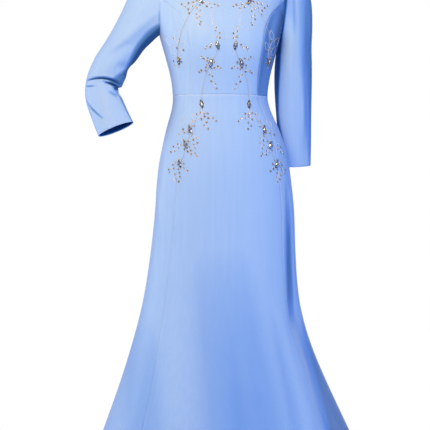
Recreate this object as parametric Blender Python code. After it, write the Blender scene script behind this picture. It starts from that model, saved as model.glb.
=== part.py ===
"""Mermaid gown in blue crepe, worn and open at neck, cuffs and hem.

The bodice has seven panels, the skirt has seven gores, and two sleeves are set in, the wearer's right one
bent. Marquise crystals lie on the front, and a concealed zip closes the centre back.
Metres, +Z up. The front faces -Y and the wearer's left is +X. The origin is the middle of the shoulder
line, where the gown hangs from its wearer."""

import math
from collections import namedtuple

import bmesh
import bpy
from mathutils import Matrix, Vector

# Cloth and seams
CLOTH = 0.0014
SEAM_GAP = 0.0003
STEP = 0.0004  # for slopes of the surface

# Heights from the shoulder line
PRINCESS_TOP = -0.158  # where the princess seams reach the armholes
UNDERARM = -0.250
WAIST = -0.410
HEM = -1.470

# Shoulders and neck
TIP_HALF = 0.196
NECK_HALF = 0.110
SHOULDER_DROP = 0.040
RIDGE_BACK = 0.006  # the shoulder seam lies this far behind the middle
FRONT_NECK_RISE = 0.345  # share of the way from chest to shoulder line
BACK_NECK_RISE = 0.605
CHEST_RISE = 1.3  # how steeply the chest and back leave their highest sections
FRONT_ROUND = 1.5  # how full they round over into the shoulder
BACK_ROUND = 1.6

# Rows and columns of the panels
BODICE_ROWS = 9
SHOULDER_ROWS = 7
SIDE_COLUMNS = 6
SKIRT_ROWS = 25
ROW_GROWTH = 1.25  # the skirt's rows lie closer at the waist
NECK_SHARES = (0, 0.30, 0.58, 0.82, 1.0)
SHOULDER_COLUMNS = 3
ARMHOLE_SCOOP = 1.8

Section = namedtuple("Section", "height centre half front back square")
SECTIONS = (
    Section(-0.158, 0.0000, 0.1740, 0.096, 0.108, 2.70),
    Section(-0.200, 0.0000, 0.1690, 0.110, 0.111, 2.50),
    Section(-0.250, 0.0000, 0.1605, 0.121, 0.108, 2.30),
    Section(-0.312, 0.0005, 0.1438, 0.115, 0.100, 2.25),
    Section(-0.360, 0.0005, 0.1318, 0.103, 0.091, 2.20),
    Section(-0.410, 0.0005, 0.1258, 0.094, 0.086, 2.20),
    Section(-0.440, 0.0025, 0.1293, 0.094, 0.091, 2.20),
    Section(-0.492, 0.0070, 0.1491, 0.099, 0.110, 2.20),
    Section(-0.550, 0.0110, 0.1659, 0.103, 0.128, 2.20),
    Section(-0.603, 0.0110, 0.1757, 0.104, 0.136, 2.20),
    Section(-0.710, 0.0130, 0.1856, 0.104, 0.134, 2.15),
    Section(-0.816, 0.0090, 0.1926, 0.110, 0.132, 2.10),
    Section(-0.948, 0.0040, 0.2081, 0.130, 0.150, 2.05),
    Section(-1.054, 0.0040, 0.2349, 0.165, 0.186, 2.00),
    Section(-1.160, 0.0100, 0.2731, 0.215, 0.240, 2.00),
    Section(-1.290, 0.0180, 0.3261, 0.278, 0.312, 2.00),
    Section(-1.470, 0.0280, 0.4016, 0.352, 0.400, 2.00),
)

# Princess seams, as shares of the half width at each height
Seam = namedtuple("Seam", "height front back")
SEAMS = (
    Seam(-0.158, 0.945, 0.945),
    Seam(-0.198, 0.715, 0.740),
    Seam(-0.227, 0.634, 0.650),
    Seam(-0.259, 0.606, 0.600),
    Seam(-0.312, 0.622, 0.590),
    Seam(-0.410, 0.716, 0.630),
    Seam(-0.471, 0.760, 0.680),
    Seam(-0.600, 0.760, 0.700),
    Seam(-1.470, 0.760, 0.700),
)

# Soft flutes of the skirt: turn from centre front, height where each starts, depth at the hem
Flute = namedtuple("Flute", "turn spread start depth")
FLUTES = (
    Flute(-150, 13, -0.80, 0.022),
    Flute(-118, 12, -0.84, 0.020),
    Flute(-58, 10, -0.95, 0.012),
    Flute(-24, 11, -0.85, 0.012),
    Flute(6, 12, -0.90, -0.010),
    Flute(38, 11, -0.88, 0.012),
    Flute(64, 10, -0.62, -0.013),
    Flute(118, 12, -0.84, 0.020),
    Flute(150, 13, -0.80, 0.022),
    Flute(180, 10, -0.82, -0.016),
)

# Bust fullness that the princess seams shape
BUST_TURN = 33
BUST_SPREAD = 20
BUST_HEIGHT = -0.285
BUST_DEPTH = 0.006
BUST_REACH = 0.050

# Sleeves: stations down each arm, with the tube's half width and half depth
Station = namedtuple("Station", "x y z half_width half_depth")
HANGING_ARM = (
    Station(0.2040, 0.020, -0.272, 0.0460, 0.0460),
    Station(0.2025, 0.027, -0.312, 0.0505, 0.0450),
    Station(0.2035, 0.037, -0.360, 0.0515, 0.0425),
    Station(0.2060, 0.048, -0.410, 0.0500, 0.0400),
    Station(0.2100, 0.058, -0.471, 0.0470, 0.0365),
    Station(0.2130, 0.068, -0.530, 0.0455, 0.0330),
    Station(0.2155, 0.078, -0.589, 0.0440, 0.0300),
)
UPPER_ARM = (
    Station(-0.2560, 0.040, -0.271, 0.0490, 0.0460),
    Station(-0.2730, 0.047, -0.305, 0.0490, 0.0440),
    Station(-0.2890, 0.053, -0.337, 0.0490, 0.0420),
)
ELBOW = Vector((-0.3180, 0.0650, -0.3900))
FOREARM = (
    Station(-0.2990, 0.0330, -0.4350, 0.0480, 0.0330),
    Station(-0.2880, 0.0190, -0.4670, 0.0490, 0.0260),
    Station(-0.2760, 0.0040, -0.4970, 0.0500, 0.0190),
)
ELBOW_ROWS = 5
CAP_ROWS = 6
BENT_FULLNESS = 0.06
HANGING_FULLNESS = 1.05

# Crystals: reach from the centre line, height, lean, length, width
Crystal = namedtuple("Crystal", "place reach height lean length width")
CRYSTALS = (
    Crystal("yoke", 0.064, -0.166, 20, 0.020, 0.0085),
    Crystal("shoulder", 0.118, -0.322, -12, 0.018, 0.0080),
    Crystal("breast", 0.023, -0.284, 8, 0.022, 0.0090),
    Crystal("rib", 0.040, -0.330, -14, 0.021, 0.0095),
    Crystal("waist", 0.062, -0.434, 12, 0.022, 0.0090),
    Crystal("hip", 0.098, -0.500, 24, 0.019, 0.0085),
    Crystal("flank", 0.112, -0.540, 30, 0.022, 0.0090),
    Crystal("thigh", 0.128, -0.590, 26, 0.020, 0.0085),
)
CRYSTAL_LIFT = 0.0006
CRYSTAL_GIRDLE = 0.0014
CRYSTAL_HEIGHT = 0.0042
CRYSTAL_TABLE = 0.55
CRYSTAL_CORNERS = 8

# Zip slider and pull at the centre back
ZIP_RISE = 0.50
SLIDER_WIDTH = 0.0044
SLIDER_LENGTH = 0.0085
SLIDER_THICK = 0.0015
EAR_THICK = 0.0009
EAR_LENGTH = 0.0030
EAR_OFFSET = 0.0018  # middle of each ear from the centre line
PIN_RADIUS = 0.0005
PIN_LIFT = 0.0036  # hinge axis above the cloth
TAB_EYE = 0.0015
TAB_BORE = 0.0009
TAB_KNUCKLE = 0.0019
TAB_THICK = 0.0012
TAB_WIDTH = 0.0056
TAB_LENGTH = 0.0220
TAB_NECK = 0.0032
TAB_SHOULDER = 0.0125
TAB_LEAN = 6  # degrees in towards the cloth

Finish = namedtuple("Finish", "colour roughness metallic")
CREPE = Finish((0.33, 0.50, 0.86, 1), 0.72, 0.0)
CRYSTAL_CLEAR = Finish((0.80, 0.84, 0.88, 1), 0.06, 0.0)
SILVER = Finish((0.70, 0.73, 0.78, 1), 0.28, 1.0)


def read(table, column, height):
    """A column of a table at a height, on a smooth curve through its rows, which run downwards."""
    rows = [(row.height, getattr(row, column)) for row in table]
    last = len(rows) - 1
    k = next((i for i in range(last) if height >= rows[i + 1][0]), last - 1)

    def slope(i):
        low, high = rows[max(i - 1, 0)], rows[min(i + 1, last)]
        return (high[1] - low[1]) / (high[0] - low[0])

    (h0, v0), (h1, v1) = rows[k], rows[k + 1]
    span = h1 - h0
    return hermite(v0, slope(k) * span, v1, slope(k + 1) * span, (height - h0) / span)


def hermite(p0, m0, p1, m1, t):
    """Cubic from p0 to p1 with end slopes m0 and m1."""
    a, b = t * t, t * t * t
    return p0 * (2 * b - 3 * a + 1) + m0 * (b - 2 * a + t) + p1 * (3 * a - 2 * b) + m1 * (b - a)


def signed_power(value, power):
    return math.copysign(abs(value) ** power, value)


def near(turn, middle):
    """Degrees from a middle turn, the short way round."""
    return (turn - middle + 180) % 360 - 180


def fluting(turn, height):
    """How far the skirt's flutes stand out of its plain section."""
    total = 0.0
    for flute in FLUTES:
        if height < flute.start:
            grown = (flute.start - height) / (flute.start - HEM)
            ease = grown**1.3 * (1.6 - 0.6 * grown)
            total += flute.depth * ease * math.exp(-((near(turn, flute.turn) / flute.spread) ** 2))
    return total


def bust(turn, height):
    across = (near(abs(turn), BUST_TURN) / BUST_SPREAD) ** 2
    along = ((height - BUST_HEIGHT) / BUST_REACH) ** 2
    return BUST_DEPTH * math.exp(-across - along)


def section_point(turn, height):
    """A point of the gown's outer face below the chest. Turn is in degrees from centre front, + to +X."""
    power = 2 / read(SECTIONS, "square", height)
    angle = math.radians(turn)
    sine, cosine = math.sin(angle), math.cos(angle)
    depth = read(SECTIONS, "front" if cosine > 0 else "back", height)
    x = read(SECTIONS, "half", height) * signed_power(sine, power)
    y = -depth * signed_power(cosine, power)
    out = Vector((x, y, 0)).normalized() * (fluting(turn, height) + bust(turn, height))
    return Vector((x + read(SECTIONS, "centre", height), y, height)) + out


def turn_of(share, height):
    """The turn at which a section reaches this share of its half width."""
    return math.degrees(math.asin(share ** (read(SECTIONS, "square", height) / 2)))


def seam_turn(face, height):
    """Turn of the front or back princess seam, on the wearer's left."""
    turn = turn_of(read(SEAMS, face, height), height)
    return turn if face == "front" else 180 - turn


ARMHOLE_TURN = {face: seam_turn(face, PRINCESS_TOP) for face in ("front", "back")}


def column_share(turn):
    """0 at the centre line and 1 at the armhole, on the front or the back."""
    turn = abs(turn)
    if turn < 90:
        return turn / ARMHOLE_TURN["front"]
    return (180 - turn) / (180 - ARMHOLE_TURN["back"])


def shoulder_line(share, side):
    """The shoulder seam, carried on over the neck."""
    x = TIP_HALF * share
    bow = SHOULDER_DROP / (TIP_HALF**2 - NECK_HALF**2)
    return Vector((side * x, RIDGE_BACK, bow * (NECK_HALF**2 - x * x)))


def skin(turn, level):
    """The gown's outer face. A level over PRINCESS_TOP rises by 1 from there to the shoulder line."""
    if level <= PRINCESS_TOP:
        return section_point(turn, level)
    foot = section_point(turn, PRINCESS_TOP)
    lean = (foot - section_point(turn, PRINCESS_TOP - STEP)) / STEP
    top = shoulder_line(column_share(turn), math.copysign(1, turn))
    rounding = FRONT_ROUND if abs(turn) < 90 else BACK_ROUND
    over = Vector((0, (top.y - foot.y) * rounding, 0))
    leave = lean * (top.z - foot.z) * CHEST_RISE
    return hermite(foot, leave, top, over, level - PRINCESS_TOP)


def skin_normal(turn, level):
    across = skin(turn + STEP * 100, level) - skin(turn - STEP * 100, level)
    up = skin(turn, level + STEP) - skin(turn, level - STEP)
    return across.cross(up).normalized()


def material(name, finish):
    found = bpy.data.materials.get(name)
    if found:
        return found
    made = bpy.data.materials.new(name)
    made.use_nodes = True
    shader = made.node_tree.nodes["Principled BSDF"]
    shader.inputs["Base Color"].default_value = finish.colour
    shader.inputs["Roughness"].default_value = finish.roughness
    shader.inputs["Metallic"].default_value = finish.metallic
    return made


def add_object(name, mesh, finish_name, finish):
    mesh.materials.append(material(finish_name, finish))
    mesh.shade_smooth()
    mesh.set_sharp_from_angle(angle=math.radians(40))
    made = bpy.data.objects.new(name, mesh)
    bpy.context.scene.collection.objects.link(made)
    return made


def finish_bmesh(name, bm):
    """Turn the faces out and hand over the mesh."""
    bmesh.ops.recalc_face_normals(bm, faces=bm.faces)
    mesh = bpy.data.meshes.new(name)
    bm.to_mesh(mesh)
    bm.free()
    return mesh


def drawn_in(points, normals):
    """Moves a grid's border points into it by half a seam gap, along the cloth."""
    rows, columns = len(points), len(points[0])
    moved = [list(row) for row in points]
    for j in range(rows):
        for i in range(columns):
            shift = Vector((0, 0, 0))
            if j in (0, rows - 1):
                along = points[j][min(i + 1, columns - 1)] - points[j][max(i - 1, 0)]
                into = points[1 if j == 0 else rows - 2][i] - points[j][i]
                shift += edge_step(along, normals[j][i], into)
            if i in (0, columns - 1):
                along = points[min(j + 1, rows - 1)][i] - points[max(j - 1, 0)][i]
                into = points[j][1 if i == 0 else columns - 2] - points[j][i]
                shift += edge_step(along, normals[j][i], into)
            moved[j][i] = points[j][i] + shift
    return moved


def edge_step(along, normal, into):
    """Half a seam gap across an edge, along the cloth and to the side that into points to."""
    step = along.cross(normal).normalized() * (SEAM_GAP / 2)
    return step if step.dot(into) > 0 else -step


def panel(name, turns_and_levels):
    """A closed cloth wall from a grid of (turn, level), row by row from the bottom."""
    normals = [[skin_normal(*place) for place in row] for row in turns_and_levels]
    outer = drawn_in([[skin(*place) for place in row] for row in turns_and_levels], normals)
    rows, columns = len(outer), len(outer[0])
    bm = bmesh.new()
    face = [[bm.verts.new(point) for point in row] for row in outer]
    lining = [
        [bm.verts.new(outer[j][i] - normals[j][i] * CLOTH) for i in range(columns)] for j in range(rows)
    ]
    for sheet in (face, lining):
        for j in range(rows - 1):
            for i in range(columns - 1):
                bm.faces.new((sheet[j][i], sheet[j][i + 1], sheet[j + 1][i + 1], sheet[j + 1][i]))
    border = [(0, i) for i in range(columns)]
    border += [(j, columns - 1) for j in range(1, rows)]
    border += [(rows - 1, i) for i in range(columns - 2, -1, -1)]
    border += [(j, 0) for j in range(rows - 2, 0, -1)]
    for (j, i), (l, k) in zip(border, border[1:] + border[:1]):
        bm.faces.new((face[j][i], face[l][k], lining[l][k], lining[j][i]))
    return add_object(name, finish_bmesh(name, bm), "crepe", CREPE)


def steps(start, end, count):
    return [start + (end - start) * k / count for k in range(count + 1)]


def centre_shares():
    """Column places from the centre line, 0, to the princess seam, 1, with one at the neck point."""
    neck = NECK_HALF / TIP_HALF
    shares = [neck * share for share in NECK_SHARES]
    return shares + steps(neck, 1.0, SHOULDER_COLUMNS)[1:]


def neck_rise(share, lowest):
    """How far up its line to the shoulder a column goes: it stops at the round neckline."""
    within = min(share * TIP_HALF / NECK_HALF, 1.0)
    return 1 - (1 - lowest) * math.sqrt(1 - within * within)


def centre_turn(face, share, height):
    """Turn at a share of the way from the centre line to the princess seam, on the wearer's left."""
    seam = seam_turn(face, height)
    return seam * share if face == "front" else 180 - (180 - seam) * share


def centre_places(face, share, side):
    """One column of a centre panel, from the waist up."""
    lowest = FRONT_NECK_RISE if face == "front" else BACK_NECK_RISE
    column = [
        (side * centre_turn(face, share, height), height)
        for height in steps(WAIST, PRINCESS_TOP, BODICE_ROWS)
    ]
    turn = side * centre_turn(face, share, PRINCESS_TOP)
    top = neck_rise(share, lowest)
    return column + [(turn, PRINCESS_TOP + rise) for rise in steps(0, top, SHOULDER_ROWS)[1:]]


def side_place(face, share, row, side):
    """A place on a side panel: share 0 at the princess seam and 1 at the side seam."""
    seam_height = WAIST + (PRINCESS_TOP - WAIST) * row / BODICE_ROWS
    side_height = WAIST + (UNDERARM - WAIST) * row / BODICE_ROWS
    height = side_height + (seam_height - side_height) * (1 - share) ** ARMHOLE_SCOOP
    seam = seam_turn(face, seam_height)
    return side * (seam + (90 - seam) * share), height


def turned(columns):
    """Rows from columns."""
    return [list(row) for row in zip(*columns)]


def bodice():
    shares = centre_shares()
    left = [centre_places("front", share, 1) for share in shares]
    right = [centre_places("front", share, -1) for share in reversed(shares[1:])]
    panel("bodice_centre_front", turned(right + left))
    for side, word in ((1, "left"), (-1, "right")):
        panel(
            f"bodice_centre_back_{word}", turned([centre_places("back", share, side) for share in shares])
        )
        for face in ("front", "back"):
            rows = [
                [side_place(face, share, row, side) for share in steps(0, 1, SIDE_COLUMNS)]
                for row in range(BODICE_ROWS + 1)
            ]
            panel(f"bodice_side_{face}_{word}", rows)


def gore(name, turns_at):
    """A skirt gore: turns_at gives its columns' turns at a height."""
    heights = [WAIST + (HEM - WAIST) * (k / SKIRT_ROWS) ** ROW_GROWTH for k in range(SKIRT_ROWS + 1)]
    panel(name, [[(turn, height) for turn in turns_at(height)] for height in reversed(heights)])


def skirt():
    shares = centre_shares()
    across = [-share for share in reversed(shares[1:])] + shares
    gore("skirt_centre_front", lambda height: [share * seam_turn("front", height) for share in across])
    for side, word in ((1, "left"), (-1, "right")):
        gore(
            f"skirt_centre_back_{word}",
            lambda height: [side * centre_turn("back", share, height) for share in shares],
        )
        for face in ("front", "back"):
            gore(
                f"skirt_side_{face}_{word}",
                lambda height: [side * turn for turn in steps(seam_turn(face, height), 90, SIDE_COLUMNS)],
            )


def armhole(side):
    """The armhole's places, from the underarm up the front, over the shoulder and down the back."""
    shares = steps(1, 0, SIDE_COLUMNS)
    places = [side_place("front", share, BODICE_ROWS, side) for share in shares]
    places += centre_places("front", 1.0, side)[BODICE_ROWS + 1 :]
    places += centre_places("back", 1.0, side)[BODICE_ROWS:-1][::-1]
    places += [side_place("back", share, BODICE_ROWS, side) for share in shares[::-1][1:-1]]
    return places


def rounded_elbow():
    """Stations round the elbow, between the upper arm and the forearm."""
    start, end = UPPER_ARM[-1], FOREARM[0]
    first, last = Vector(start[:3]), Vector(end[:3])
    made = []
    for t in steps(0, 1, ELBOW_ROWS + 1)[1:-1]:
        point = first * (1 - t) ** 2 + ELBOW * 2 * t * (1 - t) + last * t * t
        width = start.half_width + (end.half_width - start.half_width) * t
        depth = start.half_depth + (end.half_depth - start.half_depth) * t
        made.append(Station(*point, width, depth))
    return tuple(made)


def station_ring(stations, k, fractions, side):
    """A ring of the sleeve square to the arm. Fraction 0 faces the body, 1/4 the front."""
    middle = Vector(stations[k][:3])
    before, after = stations[max(k - 1, 0)], stations[min(k + 1, len(stations) - 1)]
    along = (Vector(after[:3]) - Vector(before[:3])).normalized()
    outward = Vector((0, side, 0)).cross(along).normalized()
    outward = -outward if outward.x * side < 0 else outward
    forward = along.cross(outward) * side
    wide, deep = stations[k].half_width, stations[k].half_depth
    return [
        middle - outward * wide * math.cos(f * math.tau) + forward * deep * math.sin(f * math.tau)
        for f in fractions
    ], along


def sleeve(name, side, stations, fullness):
    """A set-in sleeve: a cap from the armhole to the first station, then rings down the arm. Fullness says
    how far the cap runs out before it turns down the arm."""
    places = armhole(side)
    count = len(places)
    seam = [skin(*place) for place in places]
    torso = [skin_normal(*place) for place in places]
    tangents = [seam[(k + 1) % count] - seam[k - 1] for k in range(count)]
    middle = sum(seam, Vector()) / count
    leaving = []
    for k in range(count):
        step = tangents[k].cross(torso[k]).normalized()
        leaving.append(step if step.dot(middle - seam[k]) > 0 else -step)

    lengths = [(seam[(k + 1) % count] - seam[k]).length for k in range(count)]
    fractions = [sum(lengths[:k]) / sum(lengths) for k in range(count)]
    first, along = station_ring(stations, 0, fractions, side)
    rings = [[seam[k] + leaving[k] * (SEAM_GAP / 2) for k in range(count)]]
    starts = []
    for k in range(count):
        top = (1 - math.cos(fractions[k] * math.tau)) / 2  # 0 at the underarm and 1 on the shoulder
        going = along * (1 - 0.8 * top) + leaving[k] * top**0.7 + torso[k] * 0.45 * (1 - top)
        starts.append(going.normalized())
    for row in range(1, CAP_ROWS + 1):
        ring = []
        for k in range(count):
            reach = (first[k] - rings[0][k]).length
            leave = starts[k] * reach * fullness
            ring.append(hermite(rings[0][k], leave, first[k], along * reach, row / CAP_ROWS))
        rings.append(ring)
    rings += [station_ring(stations, j, fractions, side)[0] for j in range(1, len(stations))]

    last = len(rings) - 1
    bm = bmesh.new()
    outer, inner = [], []
    for j, ring in enumerate(rings):
        for k, point in enumerate(ring):
            round_it = ring[(k + 1) % count] - ring[k - 1]
            down = starts[k] if j == 0 else rings[min(j + 1, last)][k] - rings[j - 1][k]
            normal = down.cross(round_it).normalized() * side
            if j == 0 and starts[k].dot(torso[k]) < 0:
                normal = torso[k]
            outer.append(bm.verts.new(point))
            inner.append(bm.verts.new(point - normal * CLOTH))
    for sheet in (outer, inner):
        for j in range(last):
            for k in range(count):
                a, b = j * count + k, j * count + (k + 1) % count
                bm.faces.new((sheet[a], sheet[b], sheet[b + count], sheet[a + count]))
    for j in (0, last):
        for k in range(count):
            a, b = j * count + k, j * count + (k + 1) % count
            bm.faces.new((outer[a], outer[b], inner[b], inner[a]))
    return add_object(name, finish_bmesh(name, bm), "crepe", CREPE)


def crystal(side, word, spec):
    """A marquise crystal whose base follows the panel it lies on."""
    here = section_share_turn(spec.reach, spec.height) * side
    across = (skin(here + 1, spec.height) - skin(here - 1, spec.height)).length / 2  # metres a degree
    normal = skin_normal(here, spec.height)
    lean = math.radians(spec.lean) * side
    bm = bmesh.new()
    rings = []
    for scale, lift in ((1, 0), (1, CRYSTAL_GIRDLE), (CRYSTAL_TABLE, CRYSTAL_HEIGHT)):
        ring = []
        for k in range(CRYSTAL_CORNERS):
            angle = math.tau * k / CRYSTAL_CORNERS
            wide = spec.width / 2 * signed_power(math.cos(angle), 1.3) * scale
            long = spec.length / 2 * math.sin(angle) * scale
            right = wide * math.cos(lean) + long * math.sin(lean)
            up = long * math.cos(lean) - wide * math.sin(lean)
            place = here + right / across, spec.height + up
            point = skin(*place) + skin_normal(*place) * CRYSTAL_LIFT + normal * lift
            ring.append(bm.verts.new(point))
        rings.append(ring)
    for low, high in zip(rings, rings[1:]):
        for k in range(CRYSTAL_CORNERS):
            n = (k + 1) % CRYSTAL_CORNERS
            bm.faces.new((low[k], low[n], high[n], high[k]))
    foot = bm.verts.new(skin(here, spec.height) + normal * CRYSTAL_LIFT)
    for k in range(CRYSTAL_CORNERS):
        bm.faces.new((rings[0][k], rings[0][(k + 1) % CRYSTAL_CORNERS], foot))
    bm.faces.new(rings[2])
    name = f"crystal_{spec.place}_{word}"
    made = add_object(name, finish_bmesh(name, bm), "crystal", CRYSTAL_CLEAR)
    made.data.shade_flat()
    return made


def section_share_turn(reach, height):
    return turn_of(reach / read(SECTIONS, "half", height), height)


def zip_frame():
    """Place of the slider: X across, Y out of the cloth, Z up along it."""
    level = PRINCESS_TOP + ZIP_RISE
    out = skin_normal(180, level)
    across = Vector((-1, 0, 0))
    up = across.cross(out).normalized()
    if up.z < 0:
        across, up = -across, -up
    frame = Matrix((across, out, up)).transposed().to_4x4()
    frame.translation = skin(180, level)
    return frame


def block(size, middle):
    """A box as a bmesh."""
    bm = bmesh.new()
    bmesh.ops.create_cube(bm, size=1)
    bmesh.ops.scale(bm, vec=size, verts=bm.verts)
    bmesh.ops.translate(bm, vec=middle, verts=bm.verts)
    return bm


def rod(radius, length, sides):
    """A cylinder along X about the hinge axis."""
    bm = bmesh.new()
    bmesh.ops.create_cone(
        bm, cap_ends=True, segments=sides, radius1=radius, radius2=radius, depth=length
    )
    bmesh.ops.rotate(bm, cent=(0, 0, 0), matrix=Matrix.Rotation(math.pi / 2, 3, "Y"), verts=bm.verts)
    return bm


def helper(name, bm, frame):
    """A shape that only joins or cuts another one."""
    made = bpy.data.objects.new(name, finish_bmesh(name, bm))
    bpy.context.scene.collection.objects.link(made)
    made.matrix_world = frame
    made.hide_render = True
    made.display_type = "WIRE"
    return made


def combine(target, other, operation):
    boolean = target.modifiers.new(other.name, "BOOLEAN")
    boolean.operation = operation
    boolean.solver = "EXACT"
    boolean.object = other


def zip_slider(frame):
    """Slider plate with two ears and the pin that carries the pull. Its mesh is about the hinge axis."""
    low = SEAM_GAP - PIN_LIFT
    plate = block((SLIDER_WIDTH, SLIDER_THICK, SLIDER_LENGTH), (0, low + SLIDER_THICK / 2, -0.0002))
    made = add_object("zip_slider", finish_bmesh("zip_slider", plate), "silver", SILVER)
    made.matrix_world = frame
    ear_tall = PIN_LIFT - SEAM_GAP - SLIDER_THICK / 2 + EAR_LENGTH / 2
    for side in (-1, 1):
        middle = (side * EAR_OFFSET, EAR_LENGTH / 2 - ear_tall / 2, 0)
        ear = helper(f"ear_{side}", block((EAR_THICK, ear_tall, EAR_LENGTH), middle), frame)
        combine(made, ear, "UNION")
    combine(made, helper("pin", rod(PIN_RADIUS, 2 * EAR_OFFSET, 10), frame), "UNION")
    return made


def zip_pull(frame):
    """Teardrop pull, hung on the slider's pin. Its origin is on the hinge axis."""
    half = TAB_WIDTH / 2
    middle = half - TAB_LENGTH
    round_end = [(half * math.cos(a), middle + half * math.sin(a)) for a in steps(0, -math.pi / 2, 4)[:-1]]
    right = [(TAB_KNUCKLE / 2, 0), (TAB_KNUCKLE / 2, -TAB_NECK), (half, -TAB_SHOULDER)] + round_end
    loop = right + [(0, -TAB_LENGTH)] + [(-x, z) for x, z in reversed(right)]
    bm = bmesh.new()
    bottom = [bm.verts.new((x, -TAB_THICK / 2, z)) for x, z in loop]
    sheet = bm.faces.new(bottom)
    grown = bmesh.ops.extrude_face_region(bm, geom=[sheet])["geom"]
    top = [item for item in grown if isinstance(item, bmesh.types.BMVert)]
    bmesh.ops.translate(bm, vec=(0, TAB_THICK, 0), verts=top)
    made = add_object("zip_pull", finish_bmesh("zip_pull", bm), "silver", SILVER)
    leaned = frame @ Matrix.Rotation(math.radians(TAB_LEAN), 4, "X")
    made.matrix_world = leaned
    combine(made, helper("knuckle", rod(TAB_EYE, TAB_KNUCKLE, 16), leaned), "UNION")
    combine(made, helper("bore", rod(TAB_BORE, TAB_KNUCKLE * 2, 16), leaned), "DIFFERENCE")
    return made


def main():
    for old in list(bpy.data.objects):
        bpy.data.objects.remove(old)
    bodice()
    skirt()
    sleeve("sleeve_bent", -1, UPPER_ARM + rounded_elbow() + FOREARM, BENT_FULLNESS)
    sleeve("sleeve_hanging", 1, HANGING_ARM, HANGING_FULLNESS)
    for spec in CRYSTALS:
        for side, word in ((1, "left"), (-1, "right")):
            crystal(side, word, spec)
    hinge = zip_frame() @ Matrix.Translation((0, PIN_LIFT, 0))
    zip_slider(hinge)
    zip_pull(hinge)


main()
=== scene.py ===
"""Looks of the mermaid gown: pale blue crepe shells, pressed seams, beaded sprays and a concealed zip.

Metres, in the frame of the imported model. The front faces -Y and the wearer's left is +X."""

import math
import random
from collections import namedtuple

import bpy
import numpy as np
from mathutils import Matrix, Vector
from mathutils.bvhtree import BVHTree
from mathutils.kdtree import KDTree


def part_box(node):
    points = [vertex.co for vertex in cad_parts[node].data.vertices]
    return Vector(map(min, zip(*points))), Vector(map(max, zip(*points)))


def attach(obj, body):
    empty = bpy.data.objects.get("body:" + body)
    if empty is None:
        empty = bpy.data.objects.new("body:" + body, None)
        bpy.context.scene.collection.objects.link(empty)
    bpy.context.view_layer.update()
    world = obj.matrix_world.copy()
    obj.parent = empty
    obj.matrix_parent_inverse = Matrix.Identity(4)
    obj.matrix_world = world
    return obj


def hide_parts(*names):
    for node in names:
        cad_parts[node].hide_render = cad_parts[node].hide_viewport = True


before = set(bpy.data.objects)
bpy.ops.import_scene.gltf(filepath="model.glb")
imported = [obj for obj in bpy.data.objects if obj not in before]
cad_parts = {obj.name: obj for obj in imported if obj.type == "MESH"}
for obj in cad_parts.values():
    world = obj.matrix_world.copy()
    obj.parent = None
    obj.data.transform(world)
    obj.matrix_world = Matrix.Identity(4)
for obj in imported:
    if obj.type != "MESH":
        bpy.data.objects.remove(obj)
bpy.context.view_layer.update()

# Camera of the photo
PHOTO_SIZE = 430
METRES_A_PIXEL = 0.00265
CAMERA_TURN = math.radians(-8)
CAMERA_DISTANCE = 4.8
AIM_HEIGHT = -0.7227
AIM_ACROSS = -0.01325
SENSOR = 36.0

# Cloth
MERGE = 0.00001
WALL_WIDTH = 0.0022  # an edge shorter than this crosses the cut edge of the cloth
CUT_ANGLE = math.radians(50)
FINENESS = 2  # subdivision of the panels
SLEEVE_FINENESS = 3
FINE_FOLD = 0.0063  # a fold narrower than this gets a finer mesh
FINE_REACH = 5  # and it gets it this far out, in squared widths of the fold
FACE_TURN = 0.02  # over how much depth a fold of one face dies out at the side
FOLD_FALL = 1.3  # how wide the foot of a fold is
RIDGE = 0.7  # how strongly the cloth rises beside a fold of one face
SEAM_REACH = 0.0011  # borders nearer than this are sewn together
BORDER_CREASE = 0.5  # a crease above this is a cut edge
SHADE_RAYS = 24  # ways in which each place of the cloth looks for other cloth
GOLDEN_ANGLE = 2.399963  # from one of them to the next
SHADE_LIFT = 0.004  # how far off the cloth they start
SHADE_REACH = 0.16  # and how far they go
LINING_SHADE = 0.62
SHADE_SHARE = {"bodice_side_front_right": 0.20, "bodice_centre_front": 0.50, "sleeve_hanging": 0.15}

# What the cloth hangs round: the trunk's middle, and the middle of each arm
TRUNK = (
    Vector((0.0, 0.0, 0.05)),
    Vector((0.0, 0.0, -0.41)),
    Vector((0.012, 0.006, -0.70)),
    Vector((0.028, 0.020, -1.50)),
)
BENT_ARM = (
    Vector((-0.170, 0.008, -0.120)),
    Vector((-0.256, 0.040, -0.271)),
    Vector((-0.289, 0.053, -0.337)),
    Vector((-0.308, 0.052, -0.388)),
    Vector((-0.299, 0.033, -0.435)),
    Vector((-0.276, 0.004, -0.497)),
)
HANGING_ARM = (
    Vector((0.165, 0.008, -0.120)),
    Vector((0.204, 0.020, -0.272)),
    Vector((0.2035, 0.037, -0.360)),
    Vector((0.210, 0.058, -0.471)),
    Vector((0.2155, 0.078, -0.589)),
)
AXES = {"sleeve_bent": BENT_ARM, "sleeve_hanging": HANGING_ARM}

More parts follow.
